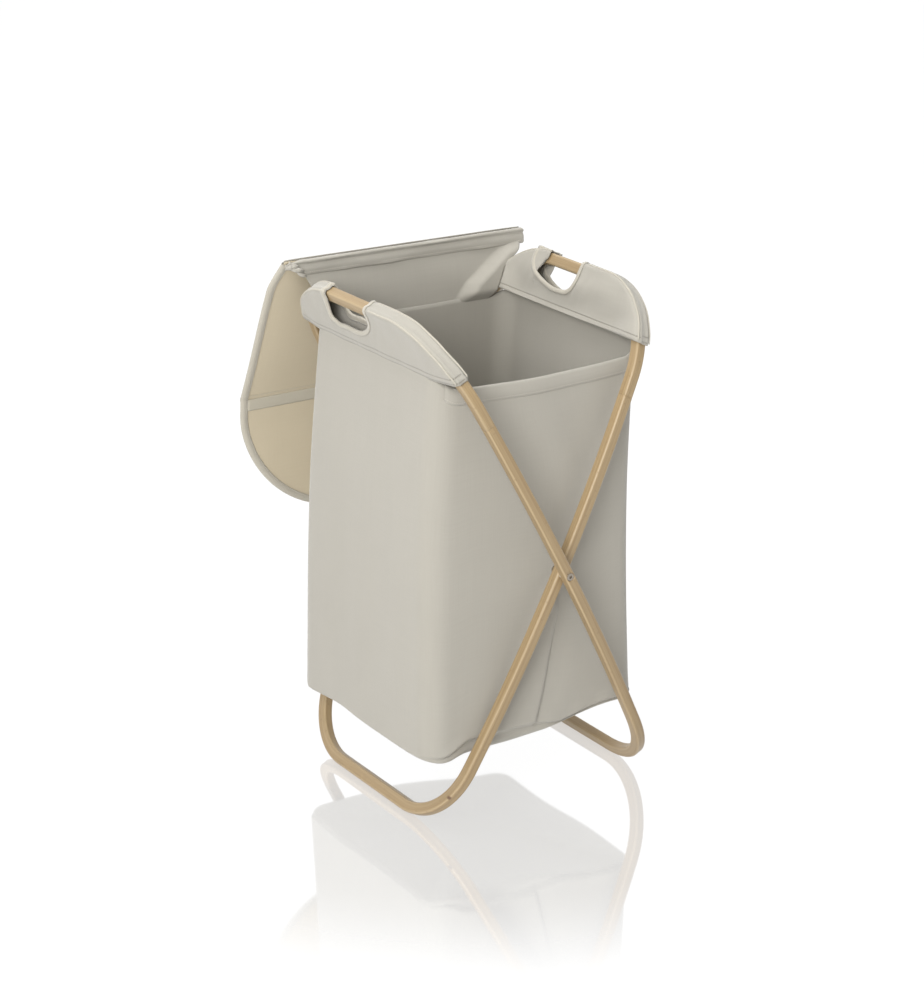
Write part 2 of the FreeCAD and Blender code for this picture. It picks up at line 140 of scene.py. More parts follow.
class Loop:
    """One bentwood loop in its leaning plane: s up the loop from the pivot, y deep, n out of it."""

    def __init__(self, side, half, foot_bend, top_bend, bow):
        self.side, self.half, self.bow = side, half, bow
        self.up = np.array([side * math.sin(LEAN), 0, math.cos(LEAN)])
        self.out = np.array([side * math.cos(LEAN), 0, -math.sin(LEAN)])
        self.turns = {1: self.turn(top_bend), -1: self.turn(foot_bend)}

    def turn(self, bend):
        """A corner's radius, its centre (s, y) and the direction in which it meets the leg."""
        reach = math.sqrt((self.bow - bend) ** 2 - (ARM - bend) ** 2)
        return bend, ARM - bend, self.half - self.bow + reach, math.atan2(reach, ARM - bend)

    def at(self, s, y, n=0.0):
        s, y, n = np.broadcast_arrays(s, y, n)
        place = self.up * s[..., None] + self.out * n[..., None] + np.array([0, 1, 0]) * y[..., None]
        return place + np.array([0, 0, PIVOT_Z])

    def half_line(self, top):
        """The upper (top = 1) or lower (-1) half's centre line as (s, y) and its outward normals.

        The normal's angle a runs from the glued joint to the bend and on to the bar: the leg is
        bow (cos a, sin a) about its bow's centre and the bend is its own radius about its centre.
        """
        radius, bend_s, bend_y, meet = self.turns[top]
        leg = arc_steps(math.pi / 2 - top * math.asin(SPLICE / self.bow), meet, self.bow, 0.005)[:-1]
        bend = arc_steps(meet, 0, radius, 0.0022)
        line = np.concatenate([
            np.stack([top * self.bow * np.cos(leg), self.half - self.bow + self.bow * np.sin(leg)], 1),
            np.stack([top * (bend_s + radius * np.cos(bend)), bend_y + radius * np.sin(bend)], 1)])
        a = np.concatenate([leg, bend])
        facing = np.stack([top * np.cos(a), np.sin(a)], 1)
        bar_y = np.linspace(-bend_y, bend_y, 34)[1:-1]
        bar = np.stack([np.full_like(bar_y, top * ARM), bar_y], 1)
        bar_face = np.stack([np.full_like(bar_y, top), np.zeros_like(bar_y)], 1)
        return (np.concatenate([line * [1, -1], bar, line[::-1]]),
                np.concatenate([facing * [1, -1], bar_face, facing[::-1]]))


def bentwood(name, loop, top):
    """A half loop: the bar's rounded section carried along the centre line, its ends eased."""
    line, facing = loop.half_line(top)
    ring = rounded_bar(BAR_DEEP, BAR_WIDE, BAR_ROUND)
    run = run_of(line)
    # hand sanding leaves the faces a tenth of a millimetre out of true
    true = 1 + 0.006 * np.sin(run * 61 + top)[:, None] * np.cos(run * 23 + loop.half * 90)[:, None]
    line = np.concatenate([line[:1], line, line[-1:]])
    facing = np.concatenate([facing[:1], facing, facing[-1:]])
    true = np.concatenate([true[:1] * 0.965, true, true[-1:] * 0.965])
    run = np.concatenate([run[:1], run, run[-1:]])
    inward = np.zeros(len(run))
    inward[[1, -2]] = 0.0005, -0.0005
    leg_dir = np.gradient(line[1:-1], run[1:-1], axis=0)
    line[1] += leg_dir[0] * inward[1]
    line[-2] += leg_dir[-1] * inward[-2]
    u = ring[None, :, 0] * true
    v = ring[None, :, 1] * true
    points = loop.at(line[:, :1] + facing[:, :1] * u, line[:, 1:] + facing[:, 1:] * u, v)
    round_it = run_of(np.concatenate([ring, ring[:1]]))
    along = np.repeat(run[:, None], len(round_it), 1) + (2.0 if top > 0 else 0) + loop.half * 9
    across = np.repeat(round_it[None, :], len(run), 0)
    return surface(name, points, np.stack([along, across], -1), wrap=(False, True), caps=True)


class Number:
    """A value worked out by a shader. + - * / and ** on it add the Math nodes that work them out."""

    def __init__(self, finish, socket):
        self.finish, self.socket = finish, socket

    def _math(self, kind, a, b, swap=False):
        a, b = (b, a) if swap else (a, b)
        return self.finish.node("ShaderNodeMath", {"operation": kind}, {0: a, 1: b})

    def __add__(self, other):
        return self._math("ADD", self, other)

    def __sub__(self, other):
        return self._math("SUBTRACT", self, other)

    def __rsub__(self, other):
        return self._math("SUBTRACT", self, other, True)

    def __mul__(self, other):
        return self._math("MULTIPLY", self, other)

    def __truediv__(self, other):
        return self._math("DIVIDE", self, other)

    def __pow__(self, other):
        return self._math("POWER", self, other)

    def __gt__(self, other):
        return self._math("GREATER_THAN", self, other)

    __radd__, __rmul__ = __add__, __mul__


class Finish:
    """A material built node by node round one Principled shader."""

    def __init__(self, name, **constants):
        self.material = bpy.data.materials.new(name)
        self.material.use_nodes = True
        self.nodes = self.material.node_tree.nodes
        self.shader = self.nodes["Principled BSDF"]
        for socket, value in constants.items():
            self.shader.inputs[socket.replace("_", " ")].default_value = value

    def node(self, kind, settings=None, sockets=None, out=0):
        """Adds a node: its settings first, then its sockets, each a value or something to link."""
        node = self.nodes.new(kind)
        for key, value in (settings or {}).items():
            if key == "stops":
                ramp = node.color_ramp
                for place, colour in value[2:]:
                    ramp.elements.new(place)
                for stop, (place, colour) in zip(ramp.elements, sorted(value)):
                    stop.position, stop.color = place, (*colour, 1)
            else:
                setattr(node, key, value)
        named = {s.identifier: s for s in node.inputs} | {n: s for n, s in enumerate(node.inputs)}
        for key, value in (sockets or {}).items():
            self.set(named[key] if key in named else node.inputs[key], value)
        outputs = {s.identifier: s for s in node.outputs} | {n: s for n, s in enumerate(node.outputs)}
        return Number(self, outputs[out] if out in outputs else node.outputs[out])

    def set(self, socket, value):
        if isinstance(value, Number):
            self.material.node_tree.links.new(value.socket, socket)
        elif socket.type == "RGBA":
            socket.default_value = (*value, 1)
        else:
            socket.default_value = value

    def feed(self, **values):
        for socket, value in values.items():
            self.set(self.shader.inputs[socket.replace("_", " ")], value)

    def blend(self, share, a, b, kind="MIX"):
        """A colour between a and b."""
        return self.node("ShaderNodeMix", {"data_type": "RGBA", "blend_type": kind, "clamp_factor": True},
                         {"Factor_Float": share, "A_Color": a, "B_Color": b}, "Result_Color")

    def noise(self, place, scale, detail=2.0, rough=0.5):
        return self.node("ShaderNodeTexNoise", None,
                         {"Vector": place, "Scale": scale, "Detail": detail, "Roughness": rough}, "Fac")

    def between(self, value, low, high):
        """0 below low, 1 above high and a smooth step between them."""
        return self.node("ShaderNodeMapRange", {"interpolation_type": "SMOOTHSTEP"},
                         {"Value": value, "From Min": low, "From Max": high})

    def wave(self, value):
        return self.node("ShaderNodeMath", {"operation": "SINE"}, {0: value})

    def place(self, x, y, z=0.0):
        return self.node("ShaderNodeCombineXYZ", None, {0: x, 1: y, 2: z})

    def map(self):
        """The piece's own flat coordinates, in metres."""
        flat = self.node("ShaderNodeUVMap", {"uv_map": "cloth"})
        parts = self.node("ShaderNodeSeparateXYZ", None, {0: flat})
        return parts, Number(self, parts.socket.node.outputs[1])

    def bump(self, height, distance, strength=1.0):
        return self.node("ShaderNodeBump", None,
                         {"Strength": strength, "Distance": distance, "Height": height})


def bamboo():
    """Lacquered bamboo: straight fibres along the bar in laminated strips about 3 mm deep.

    Fibres are noise drawn out 150 times along the bar, every strip has its own shade, and a growth
    ring is a faint dark line with a paler lip, staggered from strip to strip. The long edges carry a
    painted highlight, paler where light catches them, and there is one dark knot on the front of
    the inner loop's lower bend.
    """
    m = Finish("lacquered_bamboo", Coat_Roughness=0.28)
    along, across = m.map()
    fibre = m.noise(m.place(along * 7, across * 1000), 1.0, 5.0, 0.6)
    broad = m.noise(m.place(along * 2.2, across * 120), 1.0, 3.0, 0.55)
    strip = m.noise(m.place(m.node("ShaderNodeMath", {"operation": "FLOOR"}, {0: across / 0.0031}) * 3.7,
                            m.node("ShaderNodeMath", {"operation": "FLOOR"}, {0: along / 0.9}) * 5.1), 1.0, 0.0)
    phase = m.node("ShaderNodeMath", {"operation": "FRACT"}, {0: along / 0.31 + strip * 3.3})
    ring = m.between(phase, 0.495, 0.499) - m.between(phase, 0.501, 0.505)
    glue = m.node("ShaderNodeMath", {"operation": "FRACT"}, {0: across / 0.0031})
    glue = m.between(glue, 0.0, 0.07) * (1 - m.between(glue, 0.93, 1.0))
    # the section's four rounded edges, by distance round it, for a painted highlight along them
    quarter = m.node("ShaderNodeMath", {"operation": "PINGPONG"}, {0: across - EDGE_AT, 1: EDGE_APART / 2})
    edge = 1 - m.between(quarter, 0.0006, 0.0022)
    place = m.node("ShaderNodeTexCoord", None, None, "Object")
    off = m.node("ShaderNodeVectorMath", {"operation": "SUBTRACT"}, {0: place, 1: KNOT_AT})
    off = m.node("ShaderNodeVectorMath", {"operation": "MULTIPLY"}, {0: off, 1: (1.0, 0.55, 1.0)})
    from_knot = m.node("ShaderNodeVectorMath", {"operation": "LENGTH"}, {0: off}, "Value")
    knot = 1 - m.between(from_knot, 0.0012, 0.0036)
    tone = m.blend(m.between(fibre, 0.34, 0.7), (0.280, 0.190, 0.094), (0.400, 0.292, 0.158))
    tone = m.blend(m.between(broad, 0.42, 0.75) * 0.45, tone, (0.240, 0.158, 0.075))
    tone = m.blend(m.between(strip, 0.3, 0.7) * 0.30, tone, (0.420, 0.318, 0.182))
    # painted highlight: the rounded edges are lightened where light catches them
    tone = m.blend(edge * 0.30, tone, (0.520, 0.415, 0.262))
    tone = m.blend(ring * 0.22, tone, (0.17, 0.10, 0.045))
    tone = m.blend((1 - glue) * 0.22, tone, (0.20, 0.125, 0.055))
    tone = m.blend(knot * 0.8, tone, (0.085, 0.035, 0.018))
    m.feed(Base_Color=tone, Roughness=0.38 + fibre * 0.16, Coat_Weight=0.12 + broad * 0.10,
           Normal=m.bump(fibre * 0.4 + glue * 0.4 - ring * 0.4 - knot * 0.5, 0.00015))
    return m.material


SECTION = rounded_bar(BAR_DEEP, BAR_WIDE, BAR_ROUND)
SECTION_RUN = run_of(np.concatenate([SECTION, SECTION[:1]]))
EDGE_AT = float(SECTION_RUN[2:4].mean())
EDGE_APART = float(SECTION_RUN[-1]) / 4
KNOT_AT = (-0.1455, -0.1620, 0.0468)
BAMBOO = bamboo()
inner = Loop(1, 0.1855, 0.092, 0.112, 2.273)
outer = Loop(-1, 0.2015, 0.118, 0.112, 1.800)
halves = {}
for loop, body, word in ((inner, "inner_frame", "inner"), (outer, "outer_frame", "outer")):
    for top, part in ((-1, "lower"), (1, "upper")):
        half = bentwood(f"{word}_bamboo_{part}", loop, top)
        half.data.materials.append(BAMBOO)
        halves[word, part] = half

# each bolt head sits in a round recess, bored into the outer loop's face where the legs cross
outer_face = outer.half + BAR_DEEP / 2
bore = []
for sign in (-1, 1):
    turn = np.linspace(0, 2 * math.pi, 48, endpoint=False)
    radius = np.array([0.00525, 0.00525])
    y = np.array([outer_face - 0.0036, outer_face + 0.01]) * sign
    ring = np.stack([radius[:, None] * np.cos(turn) * sign, np.repeat(y[:, None], 48, 1),
                     PIVOT_Z + radius[:, None] * np.sin(turn)], -1)
    bore.append(surface("bore", ring, wrap=(False, True), caps=True, flip=False))
with_bore = halves["outer", "lower"]
for cutter in bore:
    cut = with_bore.modifiers.new("bore", "BOOLEAN")
    cut.operation, cut.object, cut.solver = "DIFFERENCE", cutter, "EXACT"
bored = bpy.data.meshes.new_from_object(with_bore.evaluated_get(bpy.context.evaluated_depsgraph_get()))
with_bore.modifiers.clear()
with_bore.data = bored
for cutter in bore:
    bpy.data.objects.remove(cutter)
for (word, part), half in halves.items():
    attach(half, f"{word}_frame")
    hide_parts(f"{word}_loop_{part}")

# ---- pivot hardware -----------------------------------------------------------------------------
# A connector bolt with a hex socket, a barrel nut and a nylon washer at each crossing. The solids
# are the real shapes, so they keep them and get plated, brushed and worn metal.


def plated_steel():
    """Bronze-plated steel: fine turning marks round the pivot and worn rims."""
    m = Finish("plated_steel", Metallic=1.0)
    place = m.node("ShaderNodeTexCoord", None, None, "Object")
    parts = m.node("ShaderNodeSeparateXYZ", None, {0: place})
    x = parts
    z = Number(m, parts.socket.node.outputs[2]) - PIVOT_Z
    far = m.node("ShaderNodeMath", {"operation": "SQRT"}, {0: x * x + z * z})
    turned = m.wave(far * 21000.0)
    scuff = m.noise(place, 900.0, 3.0)
    worn = m.between(far, 0.0042, 0.0048) * m.between(scuff, 0.35, 0.6)
    tone = m.blend(m.between(scuff, 0.3, 0.7) * 0.4, (0.40, 0.36, 0.31), (0.27, 0.235, 0.19))
    tone = m.blend(worn * 0.5, tone, (0.62, 0.58, 0.52))
    m.feed(Base_Color=tone, Roughness=0.30 + scuff * 0.15, Normal=m.bump(turned, 0.00002, 0.5))
    return m.material


def nylon():
    """Pale nylon: slightly waxy, with a fine moulded bloom."""
    m = Finish("nylon_washer", Subsurface_Weight=0.1)
    place = m.node("ShaderNodeTexCoord", None, None, "Object")
    bloom = m.noise(place, 1400.0, 3.0)
    m.feed(Base_Color=m.blend(bloom, (0.62, 0.60, 0.54), (0.74, 0.72, 0.66)),
           Roughness=0.42 + bloom * 0.15, Normal=m.bump(bloom, 0.00003))
    return m.material


steel = plated_steel()
for node, finish in (("pivot_bolts", steel), ("pivot_nuts", steel), ("pivot_washers", nylon())):
    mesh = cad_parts[node].data
    mesh.materials.clear()
    mesh.materials.append(finish)

# ---- cloth --------------------------------------------------------------------------------------
# A close plain weave of polyester yarn, half a millimetre a thread, with a faint slub in both
# directions. The same finish is dyed three ways: bag greige, lining cream and binding tape.


def woven(name, light, dark, pitch=0.00055, slub=0.22, sheen=0.3, rib=False, seams=()):
    """Woven cloth: two sets of sine-backed threads that pass over each other in turn.

    The height is the higher thread's crown, |sin| of its own direction; a rib makes it a twill.
    Slubs are noise drawn out along each thread direction, clouding is broad soft noise. Painted shade
    darkens the weave's hollows and long vertical drape folds. seams are the places along v where a
    row of stitching draws a narrow groove, darkened with painted shade.
    """
    m = Finish(name, Sheen_Weight=sheen, Sheen_Roughness=0.45, Specular_IOR_Level=0.3)
    u, v = m.map()
    if rib:
        height = m.wave((u + v) * (math.pi / pitch)) * 0.5 + m.wave((u - v) * (math.pi / pitch)) * 0.2 + 0.5
    else:
        warp = m.wave(u * (math.pi / pitch))
        weft = m.wave(v * (math.pi / pitch))
        height = m.node("ShaderNodeMath", {"operation": "ABSOLUTE"}, {0: warp * weft})
    slub_u = m.noise(m.place(u * 900, v * 14), 1.0, 3.0, 0.6)
    slub_v = m.noise(m.place(u * 14, v * 900, 4.0), 1.0, 3.0, 0.6)
    drape = m.noise(m.place(u * 34, v * 2.4, 9.0), 1.0, 2.0, 0.5)
    cloud = m.noise(m.place(u, v, 7.0), 9.0, 3.0, 0.5)
    thread = (slub_u + slub_v) * 0.5
    shade = m.blend(m.between(thread, 0.36, 0.64) * slub + 0.5 * (1 - slub), dark, light)
    shade = m.blend(m.between(cloud, 0.35, 0.7) * 0.16, shade, light)
    # painted shade: long vertical streaks darkened as the shade of soft drape folds
    shade = m.blend(m.between(drape, 0.4, 0.7) * 0.10, shade, dark)
    # painted shade in the weave's hollows, where the threads' crowns are low
    shade = m.blend((1 - height) * 0.10, shade, dark)
    relief = height * 0.5 + thread * 0.8 + drape * 0.8
    for seam in seams:
        off = m.node("ShaderNodeMath", {"operation": "ABSOLUTE"}, {0: v - seam})
        # painted shade: the stitched groove is darkened, more at each stitch
        groove = 1 - m.between(off, 0.0003, 0.0013)
        dash = m.between(m.wave(u * (math.pi / 0.0016)), -0.5, 0.3)
        deep = (dark[0] * 0.45, dark[1] * 0.43, dark[2] * 0.40)
        shade = m.blend(groove * (0.30 + dash * 0.25), shade, deep)
        relief = relief - groove * (3.5 + dash)
    m.feed(Base_Color=shade, Roughness=0.76 + thread * 0.14, Normal=m.bump(relief, 0.00022, 0.6))
    return m.material


BAG_CLOTH = woven("bag_cloth_greige", (0.425, 0.402, 0.350), (0.350, 0.330, 0.285))
LINING = woven("lining_cloth_cream", (0.600, 0.525, 0.385), (0.520, 0.450, 0.325), sheen=0.15)
TAPE = woven("binding_tape", (0.500, 0.468, 0.395), (0.400, 0.372, 0.310), pitch=0.0009, rib=True)
THREAD = woven("sewing_thread", (0.56, 0.53, 0.46), (0.46, 0.43, 0.37), pitch=0.0003, slub=0.2)


def thicken(piece, cloth, offset=-1.0):
    """Gives a sheet its cloth's thickness, and closes its edges."""
    wall = piece.modifiers.new("cloth", "SOLIDIFY")
    wall.thickness, wall.offset, wall.use_even_offset = cloth, offset, False
    return piece


def grid_normals(points, wrap=(False, False)):
    """Unit normals of a grid: the cross product of its two directions' central differences."""
    def along(axis):
        if wrap[axis]:
            return np.roll(points, -1, axis) - np.roll(points, 1, axis)
        return np.gradient(points, axis=axis)
    n = np.cross(along(1), along(0))
    return n / np.maximum(np.linalg.norm(n, axis=-1, keepdims=True), 1e-12)


def unit(v):
    """Vectors at length 1."""
    return v / np.linalg.norm(v, axis=-1, keepdims=True)


def step(x, low, high):
    """0 below low, 1 above high, 3t^2 - 2t^3 between."""
    t = np.clip((x - low) / (high - low), 0, 1)
    return t * t * (3 - 2 * t)


def stitches(name, lines, pitch=0.0032, long=0.0024, thick=0.00042):
    """Rows of lockstitches: along each (points, normals) line a short bead every pitch metres.

    A bead is a circle of radius thick sqrt(1 - t^2) carried from t = -1 to 1 along the stitch.
    """
    t = np.array([-0.96, -0.6, 0.0, 0.6, 0.96])
    turn = np.linspace(0, 2 * math.pi, 6, endpoint=False)
    swell = thick * np.sqrt(1 - t ** 2) ** 0.7
    beads = []
    for line, facing in lines:
        run = run_of(line)
        count = max(1, int(run[-1] / pitch))
        at = (np.arange(count) + 0.5) * run[-1] / count
        mid = np.stack([np.interp(at, run, line[:, k]) for k in range(3)], 1)
        ahead = np.stack([np.interp(at + 0.001, run, line[:, k]) for k in range(3)], 1)
        behind = np.stack([np.interp(at - 0.001, run, line[:, k]) for k in range(3)], 1)
        tangent = ahead - behind
        tangent /= np.linalg.norm(tangent, axis=1, keepdims=True)
        up = np.stack([np.interp(at, run, facing[:, k]) for k in range(3)], 1)
        across = np.cross(tangent, up)
        across /= np.linalg.norm(across, axis=1, keepdims=True)
        up = np.cross(across, tangent)
        body = mid[:, None, None] + tangent[:, None, None] * (t[:, None] * long / 2)[..., None]
        body = body + swell[:, None, None] * (np.cos(turn)[:, None] * across[:, None, None]
                                              + 0.7 * np.sin(turn)[:, None] * up[:, None, None])
        beads.append(body)
    beads = np.concatenate(beads)
    count, rows, cols = beads.shape[:3]
    i, j = np.meshgrid(np.arange(rows - 1), np.arange(cols), indexing="ij")
    quads = np.stack([i * cols + j, (i + 1) * cols + j, (i + 1) * cols + (j + 1) % cols,
                      i * cols + (j + 1) % cols], -1).reshape(-1, 4)
    ends = np.array([np.arange(cols), (rows - 1) * cols + np.arange(cols)[::-1]])
    shift = (np.arange(count) * rows * cols)[:, None, None]
    faces = (quads + shift).reshape(-1, 4).tolist() + (ends + shift).reshape(-1, cols).tolist()
    mesh = bpy.data.meshes.new(name)
    mesh.from_pydata(beads.reshape(-1, 3).tolist(), [], faces)
    mesh.uv_layers.new(name="cloth")
    mesh.polygons.foreach_set("use_smooth", np.ones(len(mesh.polygons), bool))
    mesh.materials.append(THREAD)
    piece = bpy.data.objects.new(name, mesh)
    bpy.context.scene.collection.objects.link(piece)
    return piece


def cord_of(name, line, radius, material, sides=10):
    """A round filling cord: a circle carried along a line, square to it, with closed ends."""
    tangent = np.gradient(line, axis=0)
    tangent /= np.linalg.norm(tangent, axis=1, keepdims=True)
    ref = np.where(np.abs(tangent[:, :1]) < 0.8, [[1.0, 0, 0]], [[0, 0, 1.0]])
    a = np.cross(tangent, ref)
    a /= np.linalg.norm(a, axis=1, keepdims=True)
    b = np.cross(tangent, a)
    turn = np.linspace(0, 2 * math.pi, sides, endpoint=False)
    radius = np.broadcast_to(np.asarray(radius, float), len(line))
    ring = line[:, None] + radius[:, None, None] * (np.cos(turn)[:, None] * a[:, None]
                                                    + np.sin(turn)[:, None] * b[:, None])
    run = np.repeat(run_of(line)[:, None], sides + 1, 1)
    round_it = np.repeat(np.linspace(0, 1, sides + 1)[None] * 2 * math.pi * radius.mean(), len(line), 0)
    piece = surface(name, ring, np.stack([run, round_it], -1), wrap=(False, True), caps=True, flip=True)
    piece.data.materials.append(material)
    return piece


# ---- sleeves ------------------------------------------------------------------------------------
# Each top bar runs in a flat pocket: an outer and an inner layer joined by a narrow strip round the
# bends, piped along both edges. A hand hole is cut through over the bar, its edge bound with tape.
MOUTH = 0.294
GROW = BAR_DEEP / 2 + 0.0005 + 0.0016
SKIN_IN = -(BAR_WIDE / 2 + 0.0005 + 0.0016)
SKIN_OUT = BAR_WIDE / 2 + 0.0005 + 0.0016
MOUTH_OUT = 0.0146
HOLE_LONG, HOLE_FOOT = 0.096, 0.316


def hole_edge(top, low, high, back, front):
    """The hand hole's edge from its back end over the bar down and along to its front end.

    It is points (s, y) with the directions out of the hole. Straight sides are joined to the foot
    by quarter ellipses, centre + (-a sin t, b cos t), whose (a, b) are back and front.
    """
    def fall(y, sign, from_s):
        s = np.linspace(top, from_s, 12)[:-1]
        return np.stack([s, np.full_like(s, y), np.zeros_like(s), np.full_like(s, sign)], 1)

    def corner(a, b, y, sign):
        t = np.linspace(0, math.pi / 2, 16)
        away = np.stack([-np.sin(t) / a, np.cos(t) / b * sign], 1)
        away /= np.linalg.norm(away, axis=1, keepdims=True)
        return np.column_stack([HOLE_FOOT + a - a * np.sin(t), y - sign * b + sign * b * np.cos(t), away])

    flat = np.linspace(high - back[1], low + front[1], 10)[1:-1]
    foot = np.stack([np.full_like(flat, HOLE_FOOT), flat, np.full_like(flat, -1), np.zeros_like(flat)], 1)
    both = np.concatenate([fall(high, 1, HOLE_FOOT + back[0]), corner(*back, high, 1), foot,
                           corner(*front, low, -1)[::-1], fall(low, -1, HOLE_FOOT + front[0])[::-1]])
    return both[:, :2], both[:, 2:]


SLEEVE_FOOT = MOUTH - 0.004
SLEEVE_TOP = ARM + GROW
LOWER_SEAM, UPPER_SEAM, INNER_SEAM = 0.0026, 0.0088, 0.006      # rows of stitching above the foot
SLEEVE_CLOTH = woven("sleeve_cloth_greige", (0.425, 0.402, 0.350), (0.350, 0.330, 0.285),
                     seams=(SLEEVE_FOOT + LOWER_SEAM, SLEEVE_FOOT + UPPER_SEAM,
                            2 * SLEEVE_TOP - SLEEVE_FOOT - INNER_SEAM))


def sleeve(word, loop, hole_y, back, front, body):
    """One sleeve as a ring-shaped sheet round its hand hole, rows from the hole's edge to the mouth.

    The first rows are set off square to the hole's edge. Beyond them each layer is the flat patch
    between that rim R(a), the mouth M(a) and the pocket's two curved ends: (1 - t) R + t M, plus the
    ends' own bulge where a nears them. The layers' height off the loop's plane widens towards the
    mouth and rolls over within 4 mm of the pocket's outline.
    """
    bend, bend_s, bend_y, _ = loop.turns[1]
    radius = bend + GROW
    low, high = hole_y - HOLE_LONG / 2, hole_y + HOLE_LONG / 2
    edge, away = hole_edge(SLEEVE_TOP, low, high, back, front)
    # the lower rim isn't cut dead straight
    edge[:, 0] += 0.0008 * np.sin((edge[:, 1] - low) * 95 + loop.half * 40) * step(-edge[:, 0], -0.34, -0.322)
    near = np.array([0, 0.0013, 0.003, 0.005, 0.007, 0.0095])
    tape_rows = edge[None] + near[:, None, None] * away
    rim = tape_rows[-1]
    a = run_of(edge) / run_of(edge)[-1]
    deep = bend_y + math.sqrt(radius ** 2 - (SLEEVE_FOOT - bend_s) ** 2)

    def end_line(sign, start):
        """The pocket's outline from beside the hole along the bar and down the bend to its mouth."""
        bar_y = np.linspace(sign * start, bend_y, 16)[:-1]
        down = arc_steps(0, math.acos((SLEEVE_FOOT - bend_s) / radius), radius, 0.004)
        bend_line = np.stack([bend_s + radius * np.cos(down), bend_y + radius * np.sin(down)], 1)
        return np.concatenate([np.stack([np.full_like(bar_y, SLEEVE_TOP), bar_y], 1), bend_line]) * [1, sign]

    ends = {1: end_line(1, high + near[-1]), -1: end_line(-1, low - near[-1])}
    side = 27
    across = np.concatenate([np.linspace(deep, high - 0.004, side)[:-1],
                             np.linspace(high - 0.004, low + 0.004, len(edge) - 2 * side + 2),
                             np.linspace(low + 0.004, -deep, side)[1:]])
    mouth = np.stack([np.full_like(across, SLEEVE_FOOT), across], 1)
    t = np.linspace(0, 1, 42)[1:]
    far = (1 - t)[:, None, None] * rim + t[:, None, None] * mouth
    for sign, pull in ((1, step(1 - a, 0.66, 1.0)), (-1, step(a, 0.66, 1.0))):
        run = run_of(ends[sign])
        line = np.stack([np.interp(t * run[-1], run, ends[sign][:, k]) for k in range(2)], 1)
        first, last = ends[sign][0], ends[sign][-1]
        bulge = line - (first + t[:, None] * (last - first))
        far = far + (pull ** 1.2)[None, :, None] * bulge[:, None]
    flat_grid = np.concatenate([tape_rows, far])
    s, y = flat_grid[..., 0], flat_grid[..., 1]

    def inset(s, y):
        """Distance in from the pocket's outline."""
        past = np.maximum(np.abs(y) - bend_y, 0)
        bend_in = radius - np.hypot(np.maximum(s - bend_s, 0), past)
        return np.maximum(np.where(past > 0, bend_in, SLEEVE_TOP - s), 0)

    def height(s, y, layer):
        depth = inset(s, y)
        down = np.clip((ARM - s) / (ARM - MOUTH), 0, 1.1)
        middle = step(deep - np.abs(y), 0.0, 0.06)
        if layer > 0:
            n = SKIN_OUT + (MOUTH_OUT - SKIN_OUT) * down * (0.2 + 0.8 * middle)
            n = n + 0.0010 * np.sin(math.pi * np.clip(down, 0, 1)) * np.sin(y * 17 + loop.half * 30)
        else:
            n = SKIN_IN + 0.009 * step(deep - np.abs(y), 0.022, 0.075) * step(down, 0.25, 1.0)
            n = n - 0.0013 * np.sin(math.pi * np.clip(down, 0, 1)) * np.sin(y * 21 + 1)
        # slight puckers beside the hole and slack ripples below the bar
        near_hole = np.exp(-((np.abs(y - hole_y) - HOLE_LONG / 2) ** 2 / 0.0009 + (s - 0.325) ** 2 / 0.0005))
        n = n + layer * 0.0003 * near_hole * np.sin(y * 330 + s * 160)
        n = n + layer * 0.0004 * np.sin(y * 90 + s * 60) * np.sin(s * 130 - y * 25)
        roll = np.clip(1 - depth / 0.004, 0, 1)
        return n - layer * 0.004 * (1 - np.sqrt(1 - roll ** 2))

    outer_n, inner_n = height(s, y, 1), height(s, y, -1)
    outer_layer = loop.at(s, y, outer_n)
    inner_layer = loop.at(s, y, inner_n)[:, ::-1]
    strip = 9
    share = np.linspace(0, 1, strip + 2)[1:-1]
    hollow = 0.0011 * np.sin(math.pi * share)
    hub = np.array([bend_s * 0.9, 0])

    def end_strip(column, from_n, to_n):
        """The strip across the pocket's end: straight from layer to layer, drawn in by a millimetre."""
        n = from_n[:, column, None] + (to_n - from_n)[:, column, None] * share
        out = unit(np.stack([s[:, column], y[:, column]], 1) - hub)
        return loop.at(s[:, [column]] - out[:, :1] * hollow, y[:, [column]] - out[:, 1:] * hollow, n)

    points = np.concatenate([outer_layer, end_strip(-1, outer_n, inner_n), inner_layer,
                             end_strip(0, inner_n, outer_n)], 1)
    v_flat = np.concatenate([s, np.repeat(s[:, -1:], strip, 1), 2 * SLEEVE_TOP - s[:, ::-1],
                             np.repeat(s[:, :1], strip, 1), s[:, :1]], 1)
    u_flat = np.concatenate([y, y[:, -1:] - share * 0.02, y[:, ::-1] - 0.02,
                             y[:, :1] - 0.02 - share * 0.02, y[:, :1] - 0.04], 1)
    cloth = surface(f"{word}_sleeve_cloth", points, np.stack([u_flat, v_flat], -1), wrap=(False, True),
                    flip=loop.side > 0)
    cloth.data.materials.append(SLEEVE_CLOTH)
    facing = grid_normals(points, (False, True)) * (-1 if loop.side > 0 else 1)
    thicken(cloth, 0.0012)

    # binding tape folded over the hand hole's edge
    rise = np.array([0.0003, 0.0009, 0.0010, 0.0009])
    outside = (points[:5] + facing[:5] * rise[[3, 2, 2, 1, 0]][:, None, None])[::-1]
    lip = points[:1] - (points[1:2] - points[:1]) * 0.45 - facing[:1] * 0.0006
    under = points[[0, 2, 3]] - facing[[0, 2, 3]] * 0.0017
    tape_points = np.concatenate([outside, lip, under])
    length = run_of(np.concatenate([points[0], points[:1, 0]]))
    wide = run_of(tape_points[:, 10])
    uv = np.stack(np.meshgrid(length, wide, indexing="xy"), -1)
    tape = surface(f"{word}_hole_tape", tape_points, uv, wrap=(False, True), flip=loop.side > 0)
    tape.data.materials.append(TAPE)
    thicken(tape, 0.0004)
    rows_in = points[3] + facing[3] * 0.0014
    hole_seam = [(np.concatenate([rows_in, rows_in[:1]]), np.concatenate([facing[3], facing[3][:1]]))]

